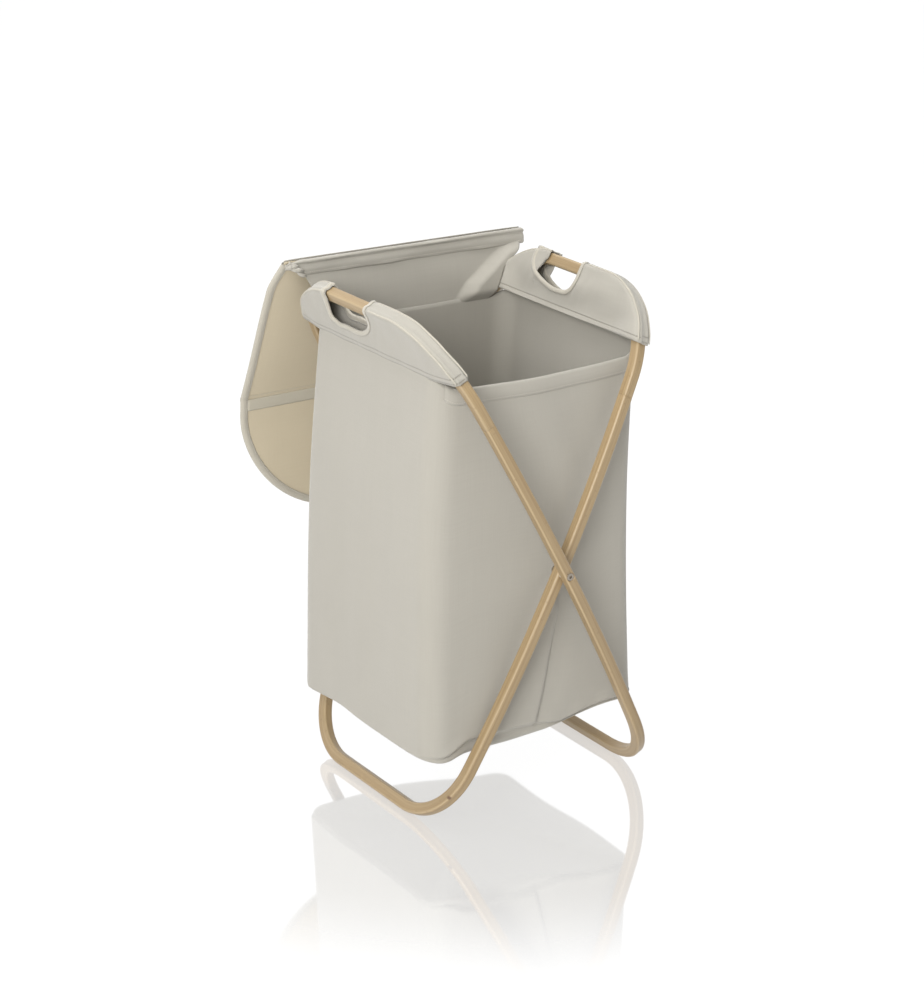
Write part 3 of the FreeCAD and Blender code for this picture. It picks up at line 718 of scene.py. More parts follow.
    # two rows of topstitching above the outer layer's lower edge, one on the inner layer's hem
    def row_at(s_line, layer, lift=0.0005):
        ys = np.linspace(deep - 0.014, -deep + 0.014, 160)
        ss = np.full_like(ys, s_line)
        return (loop.at(ss, ys, height(ss, ys, layer) + layer * lift),
                np.repeat((loop.out * layer)[None], len(ys), 0))

    seams = [row_at(SLEEVE_FOOT + LOWER_SEAM, 1), row_at(SLEEVE_FOOT + UPPER_SEAM, 1),
             row_at(SLEEVE_FOOT + INNER_SEAM, -1)]
    sewing = stitches(f"{word}_sleeve_stitches", hole_seam + seams)

    # piping along both edges of both end strips
    cords = []
    for sign, place in ((1, "back"), (-1, "front")):
        line = ends[sign]
        run = run_of(line)
        fine = np.linspace(0.002, run[-1] - 0.0035, 80)
        pipe = np.stack([np.interp(fine, run, line[:, k]) for k in range(2)], 1)
        out = unit(pipe - hub)
        within, on = pipe - out * 0.002, pipe - out * 0.0004
        for layer, side_word in ((1, "outer"), (-1, "inner")):
            at = loop.at(on[:, 0], on[:, 1], height(within[:, 0], within[:, 1], layer))
            thick = 0.0013 * (0.6 + 0.4 * np.sin(np.linspace(0.05, math.pi - 0.05, 80)) ** 0.3)
            cords.append(cord_of(f"{word}_{place}_{side_word}_piping", at, thick, TAPE))
    for piece in [tape, sewing] + cords:
        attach(piece, body)
    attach(cloth, body)
    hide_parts(f"{word}_sleeve_inner_layer", f"{word}_sleeve_outer_layer",
                f"{word}_sleeve_front_strip", f"{word}_sleeve_back_strip")
    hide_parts(f"{word}_hand_hole_binding")
    return cloth


left_sleeve = sleeve("left", outer, 0.029, (0.016, 0.018), (0.026, 0.052), "outer_frame")
right_sleeve = sleeve("right", inner, 0.038, (0.028, 0.056), (0.022, 0.020), "inner_frame")

# ---- bag ----------------------------------------------------------------------------------------
# One shell of cloth: side panels that wrap round the soft corners, front and back let in between
# them, all gathered into the bottom seam. It hangs from the sleeves, a little to the left.
BAG_TOP, BAG_FOOT = 0.5745, 0.0865
TOP_LEFT, TOP_RIGHT, TOP_DEEP = -0.1466, 0.1466, 0.1485
FOOT_LEFT, FOOT_RIGHT, FOOT_DEEP = -0.171, 0.138, 0.160
CORNER = 0.028
FRONT_RIM, BACK_RIM = 0.560, 0.572
CREASE_SHARE = 0.492


def bag_walls():
    """Columns round the bag and rows up it, as a grid of points, with flat coordinates.

    A column has a share ax across, a share ay deep, and an offset round its corner, so that at
    height z it stands at X = left + ax (right - left) + ox and Y = ay deep + oy. Rows run from the
    middle of the bottom out to its edge, round under the edge, and up the wall to the rim.
    """
    quarter = np.linspace(0, math.pi / 2, 9)[1:-1]
    ax, ay, ox, oy, nx, ny = [], [], [], [], [], []

    def add(x, y, dx, dy, fx, fy):
        x, y, dx, dy, fx, fy = np.broadcast_arrays(x, y, dx, dy, fx, fy)
        for store, value in zip((ax, ay, ox, oy, nx, ny), (x, y, dx, dy, fx, fy)):
            store.append(value)

    def side(sx, from_y):
        """A side wall, from its corner at one end to the other."""
        share = np.linspace(0, 1, 41)
        y = from_y * (1 - 2 * share)
        add(0.5 + sx / 2, y, 0, -y * CORNER, sx, 0)

    def corner(sx, sy, from_side):
        a = quarter if from_side else quarter[::-1]
        add(0.5 + sx / 2, sy, -sx * CORNER * (1 - np.cos(a)), -sy * CORNER * (1 - np.sin(a)),
            sx * np.cos(a), sy * np.sin(a))

    def face(sy, from_x):
        # columns crowd at the centre crease, on both sides of it
        near = np.array([0.0008, 0.0018, 0.003, 0.0045, 0.0065, 0.0095, 0.014, 0.021, 0.031]) / 0.31
        share = np.concatenate([np.linspace(0, CREASE_SHARE - 0.13, 20), CREASE_SHARE - near[::-1],
                                [CREASE_SHARE], CREASE_SHARE + near, np.linspace(CREASE_SHARE + 0.13, 1, 20)])
        x = share if from_x < 0 else share[::-1]
        add(x, sy, CORNER * (1 - 2 * x), 0, 0, sy)

    side(-1, 1)
    corner(-1, -1, True)
    face(-1, -1)
    corner(1, -1, False)
    side(1, -1)
    corner(1, 1, True)
    face(1, 1)
    corner(-1, 1, False)
    ax, ay, ox, oy, nx, ny = (np.concatenate(x) for x in (ax, ay, ox, oy, nx, ny))

    def at(z):
        t = (z - BAG_FOOT) / (BAG_TOP - BAG_FOOT)
        left = FOOT_LEFT + t * (TOP_LEFT - FOOT_LEFT)
        right = FOOT_RIGHT + t * (TOP_RIGHT - FOOT_RIGHT)
        deep = FOOT_DEEP + t * (TOP_DEEP - FOOT_DEEP)
        return left + ax * (right - left) + ox, ay * deep + oy

    on_front, on_back = np.clip(-ny, 0, 1) ** 2, np.clip(ny, 0, 1) ** 2
    on_left, on_right = np.clip(-nx, 0, 1) ** 2, np.clip(nx, 0, 1) ** 2
    on_side = on_left + on_right
    foot_x, foot_y = at(BAG_FOOT)

    # the bottom's edge, and the seam above it that joins the walls, both a little uneven
    def bell(at_x, middle, wide):
        return np.exp(-((at_x - middle) / wide) ** 2)

    front_foot = 0.0935 + 0.0205 * step(foot_x, -0.060, 0.100) - 0.003 * (1 - step(foot_x, -0.16, -0.08))
    front_seam = 0.0985 + 0.016 * step(foot_x, -0.150, -0.112) - 0.0065 * bell(foot_x, 0.020, 0.032)
    front_seam = np.maximum(front_seam, front_foot + 0.0045)
    left_foot = 0.0895 + 0.0035 * bell(foot_y, 0.06, 0.04) + 0.004 * bell(foot_y, -0.15, 0.03)
    left_foot = left_foot - 0.003 * bell(foot_y, 0.15, 0.03)
    right_foot = 0.1125 + 0.002 * np.sin(foot_y * 30)
    back_foot = 0.0875 + 0.0235 * step(foot_x, -0.06, 0.13)
    whole = on_front + on_back + on_side
    low_z = (on_front * front_foot + on_back * back_foot + on_left * left_foot
             + on_right * right_foot) / whole
    ball = np.exp(-((foot_x - FOOT_LEFT) ** 2 + (foot_y + FOOT_DEEP) ** 2) / 0.030 ** 2)
    seam_z = (on_front * front_seam + on_back * (back_foot + 0.012) + on_left * (left_foot + 0.006)
              + on_right * (right_foot + 0.006)) / whole
    lip = np.maximum(seam_z - low_z, 0.0035)
    rim = on_front * FRONT_RIM + on_back * BACK_RIM + on_side * (BAG_TOP + 0.0065)
    rim = rim + (1 - on_front - on_back - on_side) * 0.567
    across_foot = np.clip((foot_x - FOOT_LEFT) / (FOOT_RIGHT - FOOT_LEFT), 0, 1)
    rim = rim - on_front * 0.006 * np.sin(np.pi * across_foot)

    rows = []
    centre_x = (FOOT_LEFT + FOOT_RIGHT) / 2
    under = np.maximum(0.85 * lip, 0.009)
    edge_x, edge_y = foot_x - nx * under, foot_y - ny * under
    middle_z = BAG_FOOT
    for share in (0.04, 0.16, 0.30, 0.45, 0.60, 0.74, 0.86, 0.94):
        x = centre_x + (edge_x - centre_x) * share
        z = middle_z + (low_z - middle_z) * share ** 2 + 0.0004 * np.sin(x * 60) * np.cos(edge_y * share * 45)
        rows.append(np.stack([x, edge_y * share, z], 1))
    for share in np.linspace(0, 1, 12)[:-1]:
        a = share * math.pi / 2
        x, y = foot_x - nx * under * (1 - np.sin(a)), foot_y - ny * under * (1 - np.sin(a))
        z = low_z + lip * (1 - np.cos(a)) * 0.97
        drawn = 0.0015 * ball * np.sin(share * math.pi)
        # the rounded edge is drawn in under the walls where their seam stands proud
        tuck = 0.0040 * (on_front + on_back) * step(share, 0.45, 1.0) * (1 - ball)
        rows.append(np.stack([x + nx * drawn, y + ny * (drawn - tuck), z], 1))
    near_seam = [0, 0.0015, 0.0035, 0.0065, 0.011, 0.018, 0.028, 0.042]
    shares = np.concatenate([near_seam, np.linspace(0.058, 1, 74)])
    for share in shares:
        z = seam_z + (rim - seam_z) * share
        x, y = at(z)
        # the panels are drawn in between their held edges, and the foot fills out
        hang = np.sin(math.pi * np.clip(share, 0, 1))
        wide = (foot_x - FOOT_LEFT) / (FOOT_RIGHT - FOOT_LEFT)
        bow = -0.0022 * hang * on_side * np.cos(np.pi * foot_y / (2 * FOOT_DEEP))
        bow = bow + on_side * 0.0007 * np.sin(foot_y * 70 + z * 4) * (1 - share) * step(share, 0.02, 0.2)
        across = np.sin(np.pi * np.clip(wide, 0, 1))
        bow = bow + (on_front + on_back) * across * 0.0035 * math.exp(-((share - 0.10) / 0.12) ** 2)
        bow = bow + across * hang * (0.0050 * on_front - 0.004 * on_back)
        bow = bow + (on_front + on_back) * 0.0008 * np.sin(foot_x * 55 + z * 6) * across
        # the gusset's centre crease: the cloth stands out left of it, and dips in along it
        crease_x = -0.0195 + 0.27 * np.clip(z - 0.1, 0, 0.155)
        middle_x = FOOT_LEFT + CREASE_SHARE * (FOOT_RIGHT - FOOT_LEFT)
        shift = (crease_x - middle_x) * (1 - step(z, 0.42, 0.56))
        x = x + (on_front + on_back) * shift * (1 - np.abs(2 * wide - 2 * CREASE_SHARE)).clip(0, 1) ** 1.3
        off = x - (crease_x * (1 - step(z, 0.42, 0.56)) + step(z, 0.42, 0.56) * (middle_x + 0.02))
        strength = step(z, 0.100, 0.125) * (1 - step(z, 0.23, 0.36))
        swell = np.where(off < 0, 0.0028, -0.0014) * np.exp(-(off / 0.032) ** 2)
        dip = 0.0022 * np.exp(-np.abs(off) / 0.0013)
        bow = bow + (on_front + on_back) * strength * (swell * (1 - np.exp(-np.abs(off) / 0.0016)) - dip)
        # the seam above the bottom's edge is a narrow groove that the walls overhang
        climb = (z - seam_z)
        groove = np.exp(-(climb / 0.0016) ** 2)
        pucker = 0.0006 * np.sin(foot_x * 140 + 1.3) * np.exp(-((climb - 0.008) / 0.008) ** 2)
        overhang = 0.0012 * np.exp(-((climb - 0.006) / 0.006) ** 2)
        bow = bow + (on_front + on_back) * (pucker - 0.0036 * groove + overhang)
        # the whole bag has swung a little to the left
        x = x - 0.0025 * (1 - step(share, 0.6, 1.0)) - 0.0062 * math.sin(math.pi * share)
        # over the sleeve's lower edge the side panels lean out with the sleeve, inside its layer
        tuck = np.clip(z - BAG_TOP + 0.004, 0, 1) * on_side
        lean = 0.42 * tuck - 0.0026 * step(z, BAG_TOP - 0.008, BAG_TOP) * on_side
        rows.append(np.stack([x + nx * bow + nx * lean, y + ny * bow, z], 1))
    points = np.stack(rows)
    along = run_of(np.stack([foot_x, foot_y], 1)[np.r_[0:len(foot_x), 0]])
    u = np.repeat(along[None], len(points), 0)
    up = np.concatenate([[0], np.cumsum(np.linalg.norm(np.diff(points, axis=0), axis=2).mean(1))])
    v = np.repeat(up[:, None], u.shape[1], 1)
    return points, np.stack([u, v], -1)


bag_points, bag_flat = bag_walls()
bag = surface("bag_shell", bag_points, bag_flat, wrap=(False, True))
bag.data.materials.append(BAG_CLOTH)


def close_bottom(piece, cols):
    """Adds the one face that closes the innermost ring of the bottom."""
    import bmesh
    shell = bmesh.new()
    shell.from_mesh(piece.data)
    shell.verts.ensure_lookup_table()
    cap = shell.faces.new([shell.verts[k] for k in range(cols)])
    cap.normal_update()
    if cap.normal.z > 0:
        cap.normal_flip()
    cap.smooth = True
    shell.to_mesh(piece.data)
    shell.free()


close_bottom(bag, bag_points.shape[1])
thicken(bag, 0.0011)


def folds_flat(piece):
    """The piece rides on the bag and flattens towards its middle plane as the frame folds."""
    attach(piece, "bag")
    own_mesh(piece)


def front_hem():
    """The front rim's hem: the rim's own row carried over a folded, flattened loop 18 mm deep."""
    low = 0.018
    cols = np.where((bag_points[-1, :, 1] < -0.12) & (np.abs(bag_points[-1, :, 0]) < 0.135))[0]
    rim = bag_points[-1, cols]
    below = bag_points[-1, cols] + (bag_points[-4, cols] - rim) * (
        low / np.linalg.norm(bag_points[-4, cols] - rim, axis=1))[:, None]
    out = np.array([0, -1.0, 0])
    profile = [(1.0, 0.0002), (0.97, 0.0012), (0.5, 0.0015), (0.08, 0.0013), (-0.03, 0.0002),
               (-0.05, -0.0008), (-0.02, -0.0018), (0.08, -0.0024), (0.5, -0.0024), (1.0, -0.0015)]
    points = np.stack([rim + (below - rim) * a + out * b for a, b in profile], 0)
    run = run_of(rim)
    uv = np.stack(np.meshgrid(run, np.linspace(0, 0.04, len(profile)), indexing="xy"), -1)
    hem = surface("front_hem", points, uv, flip=True)
    hem.data.materials.append(BAG_CLOTH)
    thicken(hem, 0.0005)
    line = rim + (below - rim) * 0.86 + out * 0.0016
    return hem, stitches("front_hem_stitches", [(line, np.repeat(out[None], len(line), 0))])


hem, hem_sewing = front_hem()
for piece in (bag, hem, hem_sewing):
    folds_flat(piece)
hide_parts("left_side_panel", "right_side_panel", "front_panel", "back_panel", "bottom_panel")
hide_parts("front_rim_hem")

# ---- riser and ridge ----------------------------------------------------------------------------
# From the back rim a strip of cloth rises to the ridge, a flat rolled hem over which the lid folds.
# The hem's left end is drawn together in a twisted knot, its right end is sewn square.
RIDGE_LEFT, RIDGE_RIGHT = -0.173, 0.176
RIDGE_FRONT, RIDGE_BACK = 0.1575, 0.1672
RIDGE_FOOT, RIDGE_TOP = 0.634, 0.654


def riser_sheet():
    """From the back rim to the ridge, its ends following the sleeves' inner skins.

    The left part leans straight up and back. The right part stands forward by a soft belly whose
    left border climbs to the right, so a slanting fold runs across it.
    """
    t = np.linspace(0, 1, 44)[:, None]
    z = BACK_RIM - 0.010 + (RIDGE_FOOT + 0.004 - BACK_RIM + 0.010) * t
    end = 0.4524 * (z - 0.3231) / 0.8918 - 0.0089
    share = np.linspace(-1, 1, 110)[None]
    x = share * (end + 0.021 * step(z, 0.603, 0.634) * (share > 0))
    back = 0.1508 + (0.1628 - 0.1508) * t - 0.003 * np.sin(math.pi * t)
    back = back + 0.0012 * np.sin(x * 40 + t * 3) * np.sin(math.pi * t)
    border = 0.078 + np.where(z > 0.590, (z - 0.590) * 1.526, (z - 0.590) * 0.8)
    belly = step(x, border, border + 0.022) * (1 - step(z, 0.622, 0.636))
    back = back - 0.014 * belly * step(t, 0.0, 0.25)
    points = np.stack([x, back + 0 * x, z + 0 * x], -1)
    uv = np.stack([x, t * 0.07 + 0 * x], -1)
    return surface("riser_cloth", points, uv, flip=True)


def ridge_roll():
    """The rolled hem: a flat rounded section carried along X, pinched at its left end.

    The front face is drawn in along a fold line a third of the way up, so its upper edge stands as
    a soft roll with a straight edge below it.
    """
    x = np.concatenate([np.linspace(RIDGE_LEFT, RIDGE_LEFT + 0.03, 16)[:-1],
                        np.linspace(RIDGE_LEFT + 0.03, RIDGE_RIGHT - 0.006, 110),
                        np.linspace(RIDGE_RIGHT - 0.006, RIDGE_RIGHT, 6)[1:]])
    a = np.linspace(0, 2 * math.pi, 48, endpoint=False)
    mid_y, mid_z = (RIDGE_FRONT + RIDGE_BACK) / 2, (RIDGE_FOOT + RIDGE_TOP) / 2
    power = 0.55
    ey = np.sign(np.cos(a)) * np.abs(np.cos(a)) ** power * (RIDGE_BACK - RIDGE_FRONT) / 2
    ez = np.sign(np.sin(a)) * np.abs(np.sin(a)) ** power * (RIDGE_TOP - RIDGE_FOOT) / 2
    front = np.clip(-np.cos(a), 0, 1)
    ey = ey + front * 0.0028 * np.exp(-((ez - 0.0045) / 0.0022) ** 2)
    ey = ey - front * 0.0009 * np.exp(-((ez + 0.0085) / 0.0016) ** 2)
    pinch = 0.34 + 0.66 * step(x, RIDGE_LEFT, RIDGE_LEFT + 0.026)[:, None]
    square = 1 - 0.12 * step(x, RIDGE_RIGHT - 0.0015, RIDGE_RIGHT)[:, None]
    wave = 0.0006 * np.sin(x * 37)[:, None] * np.sin(2 * a + 0.5)
    wave = wave + 0.0003 * np.sin(x * 90 + 1)[:, None] * np.cos(3 * a)
    y = mid_y + ey * pinch * square + wave
    droop = (0.0012 + 0.0046 * (x - RIDGE_LEFT) / (RIDGE_RIGHT - RIDGE_LEFT))[:, None]
    rise = 0.003 * (1 - step(x, RIDGE_LEFT, RIDGE_LEFT + 0.03))[:, None]
    z = mid_z + ez * pinch * square + wave * 0.5 - droop + rise
    points = np.stack([np.repeat(x[:, None], 48, 1), y, z], -1)
    ring = run_of(np.stack([ey, ez], 1)[np.r_[0:48, 0]])
    uv = np.stack([np.repeat(x[:, None], 49, 1), np.repeat(ring[None], len(x), 0)], -1)
    return surface("ridge_hem", points, uv, wrap=(False, True), caps=True, flip=True)


def ridge_knot():
    """The hem's drawn-together left end: two strands wound round each other down to the sleeve."""
    t = np.linspace(0, 1, 60)
    start, end = np.array([RIDGE_LEFT + 0.003, 0.1630, 0.6475]), np.array([-0.1525, 0.1560, 0.6335])
    line = start + (end - start) * t[:, None] + np.array([0, -0.004, 0.003]) * np.sin(math.pi * t)[:, None]
    strands = []
    for phase in (0, math.pi):
        turn = phase + t * 2.6 * math.pi
        wide = 0.0022 * (1 - 0.3 * t)
        strand = line + np.stack([wide * np.cos(turn) * 0.6, wide * np.sin(turn), wide * np.cos(turn)], 1)
        name = f"ridge_knot_{len(strands) + 1}"
        strands.append(cord_of(name, strand, 0.0031 * (1 - 0.25 * t), BAG_CLOTH, 14))
    return strands


riser = riser_sheet()
riser.data.materials.append(BAG_CLOTH)
thicken(riser, 0.0011)
ridge = ridge_roll()
ridge.data.materials.append(BAG_CLOTH)
knots = ridge_knot()
ridge_x = np.linspace(RIDGE_LEFT + 0.02, RIDGE_RIGHT - 0.004, 120)
ridge_line = np.stack([ridge_x, np.full(120, RIDGE_FRONT - 0.0001), np.full(120, 0.6385)
                       - 0.0012 - 0.0046 * (ridge_x - RIDGE_LEFT) / (RIDGE_RIGHT - RIDGE_LEFT)], 1)
ridge_sewing = stitches("ridge_stitches", [(ridge_line, np.repeat([[0, -1.0, 0]], 120, 0))])
for piece in [riser, ridge, ridge_sewing] + knots:
    folds_flat(piece)
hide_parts("back_riser")
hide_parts("lid_ridge")

# ---- lid ----------------------------------------------------------------------------------------
# The cover and a cream lining with thin wadding between them, bound round the edge with tape. It
# leans back from the ridge, and beyond its fold line a soft flap with rounded corners hangs plumb.
LID_AXIS = np.array([0, 0.1685, 0.657])
LID_LEAN = math.radians(28)
LID_HALF, LID_LONG, FLAP_LONG, FLAP_ROUND = 0.183, 0.235, 0.170, 0.150
ALONG = np.array([0, math.sin(LID_LEAN), -math.cos(LID_LEAN)])
FACE = np.array([0, math.cos(LID_LEAN), math.sin(LID_LEAN)])
FOLD_LINE = LID_AXIS + ALONG * LID_LONG
SUNK = 0.004             # how far the lid's lower half sags towards the bag


def lid_half(v):
    """The lid's half width: drawn in where it meets the ridge."""
    return LID_HALF - 0.0095 * (1 - step(v, 0.0, 0.055))


def lid_at(x, v, lift=0.0):
    """A point of the lid's middle layer, from its x and its distance down from the ridge."""
    x, v, lift = np.broadcast_arrays(x, v, lift)
    belly = -0.0030 * np.exp(-v / 0.016) - SUNK * step(v, 0.05, 0.20)
    belly = belly + 0.0013 * np.sin(x * 24 + 0.7) * np.sin(math.pi * np.clip(v / LID_LONG, 0, 1))
    # the top edge starts low, inside the ridge, and slopes with it
    slope = 0.0035 + 0.0046 * (x - RIDGE_LEFT) / (RIDGE_RIGHT - RIDGE_LEFT)
    down = slope * np.exp(-np.clip(v, 0, 1) / 0.030)
    return (LID_AXIS + ALONG * v[..., None] + FACE * (belly + lift)[..., None]
            + np.stack([x, 0 * down, -down], -1))


def flap_half(z):
    """The flap's half width at a height below the fold line: straight, then round at the end."""
    drop = np.clip(FOLD_LINE[2] - z - (FLAP_LONG - FLAP_ROUND), 0, FLAP_ROUND)
    return LID_HALF - FLAP_ROUND + np.sqrt(np.maximum(FLAP_ROUND ** 2 - drop ** 2, 0))


def flap_at(x, z, lift=0.0):
    """A point of the flap's middle layer, from its x and its height, hanging plumb below the fold."""
    x, z, lift = np.broadcast_arrays(x, z, lift)
    down = np.clip((FOLD_LINE[2] - z) / FLAP_LONG, -0.1, 1)
    drift = 0.0015 * np.sin(x * 21 + 1.1) * np.clip(down, 0, 1) + 0.0012 * np.sin(down * 5)
    sunk = SUNK * (1 - step(down, 0.0, 0.3))
    back = FOLD_LINE[1] + drift + lift - sunk * math.cos(LID_LEAN)
    return np.stack([x, back, z - sunk * math.sin(LID_LEAN)], -1)


def lid_layer(name, lift, material, flip):
    """One cloth layer of the lid, at a distance from its middle layer that thins towards the sides."""
    v = np.concatenate([np.linspace(-0.001, 0.175, 45)[:-1], np.linspace(0.175, 0.2385, 30)])[:, None]
    share = np.linspace(-1, 1, 90)[None]
    x = share * lid_half(v) * 0.9985
    pillow = lift * (1 - np.abs(share) ** 14 * 0.5)
    layer = surface(name, lid_at(x, v, pillow), np.stack([x, v + 0 * x], -1), flip=flip)
    layer.data.materials.append(material)
    return layer


def flap_layer(name, lift, material, flip):
    """One cloth layer of the flap, its rows crowding towards the round end."""
    t = np.linspace(0, 1, 80)[:, None]
    drop = FLAP_LONG * np.sin(t * math.pi / 2) * 0.9995 - 0.003 * (1 - t)
    z = FOLD_LINE[2] - drop
    share = np.linspace(-1, 1, 90)[None]
    x = share * flap_half(z) * 0.9985
    layer = surface(name, flap_at(x, z, lift), np.stack([x, 0.235 + drop + 0 * x], -1), flip=flip)
    layer.data.materials.append(material)
    return layer


def tape_round(name, line, inward, face):
    """Binding folded over an edge: a flat U carried along it, from inside face round to cover face.

    inward points from the edge into the cloth, face from the lining to the cover.
    """
    half = 0.0024
    wide = 0.0085
    profile = [(wide, -half + 0.0004), (wide - 0.001, -half - 0.0006), (0.003, -half - 0.0008),
               (-0.0004, -half - 0.0001), (-0.0016, 0.0), (-0.0004, half + 0.0001),
               (0.003, half + 0.0008), (wide - 0.001, half + 0.0006), (wide, half - 0.0004)]
    points = np.stack([line + inward * a + face * b for a, b in profile], 1)
    run = run_of(line)
    across = run_of(np.array(profile))
    uv = np.stack(np.meshgrid(run, across, indexing="ij"), -1)
    tape = surface(name, points, uv)
    tape.data.materials.append(TAPE)
    return tape


lid_cover = lid_layer("lid_outside", 0.0018, BAG_CLOTH, True)
lid_lining = lid_layer("lid_lining_cloth", -0.0018, LINING, False)
flap_cover = flap_layer("flap_outside", 0.0009, BAG_CLOTH, True)
flap_lining = flap_layer("flap_lining_cloth", -0.0009, LINING, False)
for layer in (lid_cover, lid_lining, flap_cover, flap_lining):
    thicken(layer, 0.0006)

# below the fold line, where the wadding ends, a stay strip is sewn across the lining
STAY_CLOTH = woven("stay_cloth_sand", (0.500, 0.465, 0.380), (0.445, 0.410, 0.330), sheen=0.15)
stay_drop = np.linspace(0.0015, 0.0175, 12)[:, None]
stay_x = np.linspace(-1, 1, 80)[None] * (LID_HALF - 0.007)
stay_lift = -0.0019 - 0.0004 * np.sin(math.pi * (stay_drop - 0.0015) / 0.016) + 0 * stay_x
stay = surface("lining_stay_strip", flap_at(stay_x, FOLD_LINE[2] - stay_drop + 0 * stay_x, stay_lift),
               np.stack([stay_x + 0 * stay_drop, stay_drop + 0 * stay_x], -1))
stay.data.materials.append(STAY_CLOTH)
thicken(stay, 0.0005)

lid_tapes, seam_lines = [], []
for sign in (-1, 1):
    v = np.linspace(0.004, 0.2375, 90)
    line = lid_at(sign * lid_half(v), v)
    inward = np.repeat([[-sign, 0, 0]], 90, 0).astype(float)
    face = np.repeat(FACE[None], 90, 0)
    if sign < 0:
        line, v = line[::-1], v[::-1]
    lid_tapes.append(tape_round(f"lid_tape_{'left' if sign < 0 else 'right'}", line, inward, face))
    for side in (-1, 1):
        seam_lines.append((line + inward * 0.0068 + face * side * 0.0033, face * side))
wadding_line = lid_at(np.linspace(-1, 1, 120) * (LID_HALF - 0.009), 0.229, -0.0028)
seam_lines.append((wadding_line, np.repeat(-FACE[None], 120, 0)))
lid_sewing = stitches("lid_stitches", seam_lines)

corner = np.linspace(0, math.pi / 2, 70)
edge_x = np.concatenate([np.full(6, LID_HALF), LID_HALF - FLAP_ROUND + FLAP_ROUND * np.cos(corner)])
edge_z = np.concatenate([np.linspace(FOLD_LINE[2] + 0.0015, FOLD_LINE[2] - (FLAP_LONG - FLAP_ROUND), 7)[:-1],
                         FOLD_LINE[2] - (FLAP_LONG - FLAP_ROUND) - FLAP_ROUND * np.sin(corner)])
flat_x = np.linspace(edge_x[-1], -edge_x[-1], 14)[1:-1]
edge_x = np.concatenate([edge_x, flat_x, -edge_x[::-1]])
edge_z = np.concatenate([edge_z, np.full(12, edge_z[-1]), edge_z[::-1]])
flap_edge = flap_at(edge_x, edge_z)
ahead = unit(np.gradient(flap_edge, axis=0))
flap_face = np.repeat([[0, 1.0, 0]], len(flap_edge), 0)
flap_in = unit(np.cross(ahead, flap_face))
if (flap_in[len(flap_in) // 2] @ np.array([0, 0, 1.0])) < 0:
    flap_in = -flap_in
flap_tape = tape_round("flap_tape", flap_edge, flap_in, flap_face)
flap_lines = [(flap_edge + flap_in * 0.0068 + flap_face * side * 0.0032, flap_face * side)
              for side in (-1, 1)]
flap_sewing = stitches("flap_stitches", flap_lines)

for piece in [lid_cover, lid_lining, lid_sewing] + lid_tapes:
    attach(piece, "lid")
for piece in (flap_cover, flap_lining, stay, flap_tape, flap_sewing):
    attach(piece, "flap")
for piece in [lid_cover, lid_lining, stay, lid_sewing,
              flap_cover, flap_lining, flap_tape, flap_sewing] + lid_tapes:
    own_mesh(piece)
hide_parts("lid_cover")
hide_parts("lid_lining", "lid_interlining")
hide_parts("lid_binding")
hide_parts("flap_cover")
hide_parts("flap_lining")
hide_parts("flap_binding")

# ---- studio -------------------------------------------------------------------------------------
# A bright white floor that shows a soft mirror image near the object, a pale sky, brighter behind,
# one large soft light at the left and one above, and the camera at the front left, looking down.


def studio_floor():
    """White acrylic: it glows evenly, with a gloss that fades out from the object."""
    m = Finish("white_floor", IOR=1.42)
    place = m.node("ShaderNodeTexCoord", None, None, "Object")
    cloud = m.noise(place, 3.0, 2.0)
    m.feed(Base_Color=m.blend(cloud, (0.10, 0.10, 0.10), (0.11, 0.11, 0.11)), Roughness=0.5 + cloud * 0.1)
    nodes, links = m.material.node_tree.nodes, m.material.node_tree.links
    body = next(n for n in nodes if n.type == "BSDF_PRINCIPLED")
    output = next(n for n in nodes if n.type == "OUTPUT_MATERIAL")
    body.inputs["Emission Color"].default_value = (1, 1, 1, 1)
    body.inputs["Emission Strength"].default_value = 0.94
    body.inputs["Specular IOR Level"].default_value = 0.0
    gloss = nodes.new("ShaderNodeBsdfGlossy")
    gloss.inputs["Color"].default_value = (1, 1, 1, 1)
    gloss.inputs["Roughness"].default_value = 0.05
    far = m.node("ShaderNodeVectorMath", {"operation": "LENGTH"}, {0: place}, "Value")
    share = (1 - m.between(far, 0.36, 0.66)) * 0.42
    mix = nodes.new("ShaderNodeMixShader")
    links.new(share.socket, mix.inputs["Fac"])
    links.new(body.outputs["BSDF"], mix.inputs[1])
    links.new(gloss.outputs["BSDF"], mix.inputs[2])
    links.new(mix.outputs["Shader"], output.inputs["Surface"])
    return m.material


def floor_sheet():
    """A flat sheet, 30 m square."""
    x, y = np.meshgrid(np.linspace(-15, 15, 5), np.linspace(-15, 15, 5), indexing="ij")
    return surface("studio_floor", np.stack([x, y, 0 * x - 0.0002], -1), flip=True)


floor = floor_sheet()
floor.data.materials.append(studio_floor())


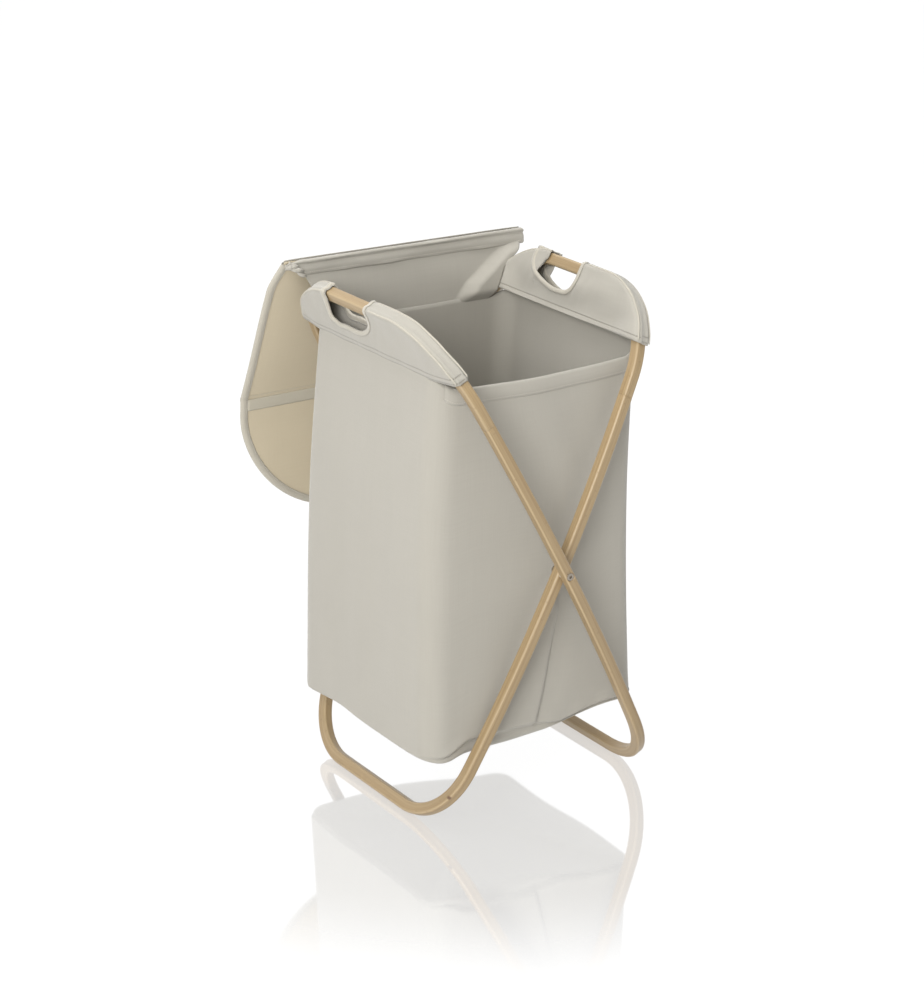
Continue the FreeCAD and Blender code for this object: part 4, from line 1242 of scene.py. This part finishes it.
def sky():
    """Pale all round, at full white low down behind the object, so the floor mirrors white."""
    world = bpy.data.worlds.new("studio")
    bpy.context.scene.world = world
    world.use_nodes = True
    nodes, links = world.node_tree.nodes, world.node_tree.links
    place = nodes.new("ShaderNodeTexCoord")
    dot = nodes.new("ShaderNodeVectorMath")
    dot.operation = "DOT_PRODUCT"
    dot.inputs[1].default_value = (math.sin(math.radians(32)), math.cos(math.radians(32)), 0)
    ramp = nodes.new("ShaderNodeMapRange")
    for socket, value in (("From Min", 0.0), ("From Max", 0.35), ("To Min", 0.30), ("To Max", 1.0)):
        ramp.inputs[socket].default_value = value
    links.new(place.outputs["Generated"], dot.inputs[0])
    links.new(dot.outputs["Value"], ramp.inputs["Value"])
    background = nodes["Background"]
    background.inputs["Color"].default_value = (1, 1, 1, 1)
    links.new(ramp.outputs["Result"], background.inputs["Strength"])


sky()
bpy.context.scene.view_settings.view_transform = "Standard"


def lamp(name, place, aim, size, watts):
    """A soft round light at a place, turned so its face looks at aim."""
    light = bpy.data.lights.new(name, "AREA")
    light.shape, light.size, light.energy = "DISK", size, watts
    holder = bpy.data.objects.new(name, light)
    bpy.context.scene.collection.objects.link(holder)
    holder.location = place
    way = np.array(aim) - np.array(place)
    holder.rotation_euler = (math.atan2(math.hypot(way[0], way[1]), -way[2]), 0, math.atan2(-way[0], way[1]))


lamp("key", (-2.35, -1.95, 1.9), (0, 0, 0.35), 2.0, 106)
lamp("top", (-0.3, 0.3, 3.2), (0, 0, 0.3), 2.2, 52)

YAW, PITCH, ROLL = math.radians(32.10), math.radians(19.51), math.radians(-0.53)
TARGET, DISTANCE, LENS_MM = np.array([-0.0216, 0, 0.3598]), 3.42, 98.604
ahead = np.array([math.sin(YAW) * math.cos(PITCH), math.cos(YAW) * math.cos(PITCH), -math.sin(PITCH)])
right = np.array([math.cos(YAW), -math.sin(YAW), 0])
above = np.cross(right, ahead)
image_right = math.cos(ROLL) * right + math.sin(ROLL) * above
image_up = -math.sin(ROLL) * right + math.cos(ROLL) * above
camera = bpy.data.objects.new("camera", bpy.data.cameras.new("camera"))
bpy.context.scene.collection.objects.link(camera)
camera.data.sensor_fit = "AUTO"
camera.data.sensor_width = 36
camera.data.lens = LENS_MM
from mathutils import Matrix
spot = TARGET - DISTANCE * ahead
camera.matrix_world = Matrix([[*row, place] for row, place in
                              zip(np.stack([image_right, image_up, -ahead], 1).tolist(), spot.tolist())]
                             + [[0, 0, 0, 1]])
bpy.context.scene.camera = camera
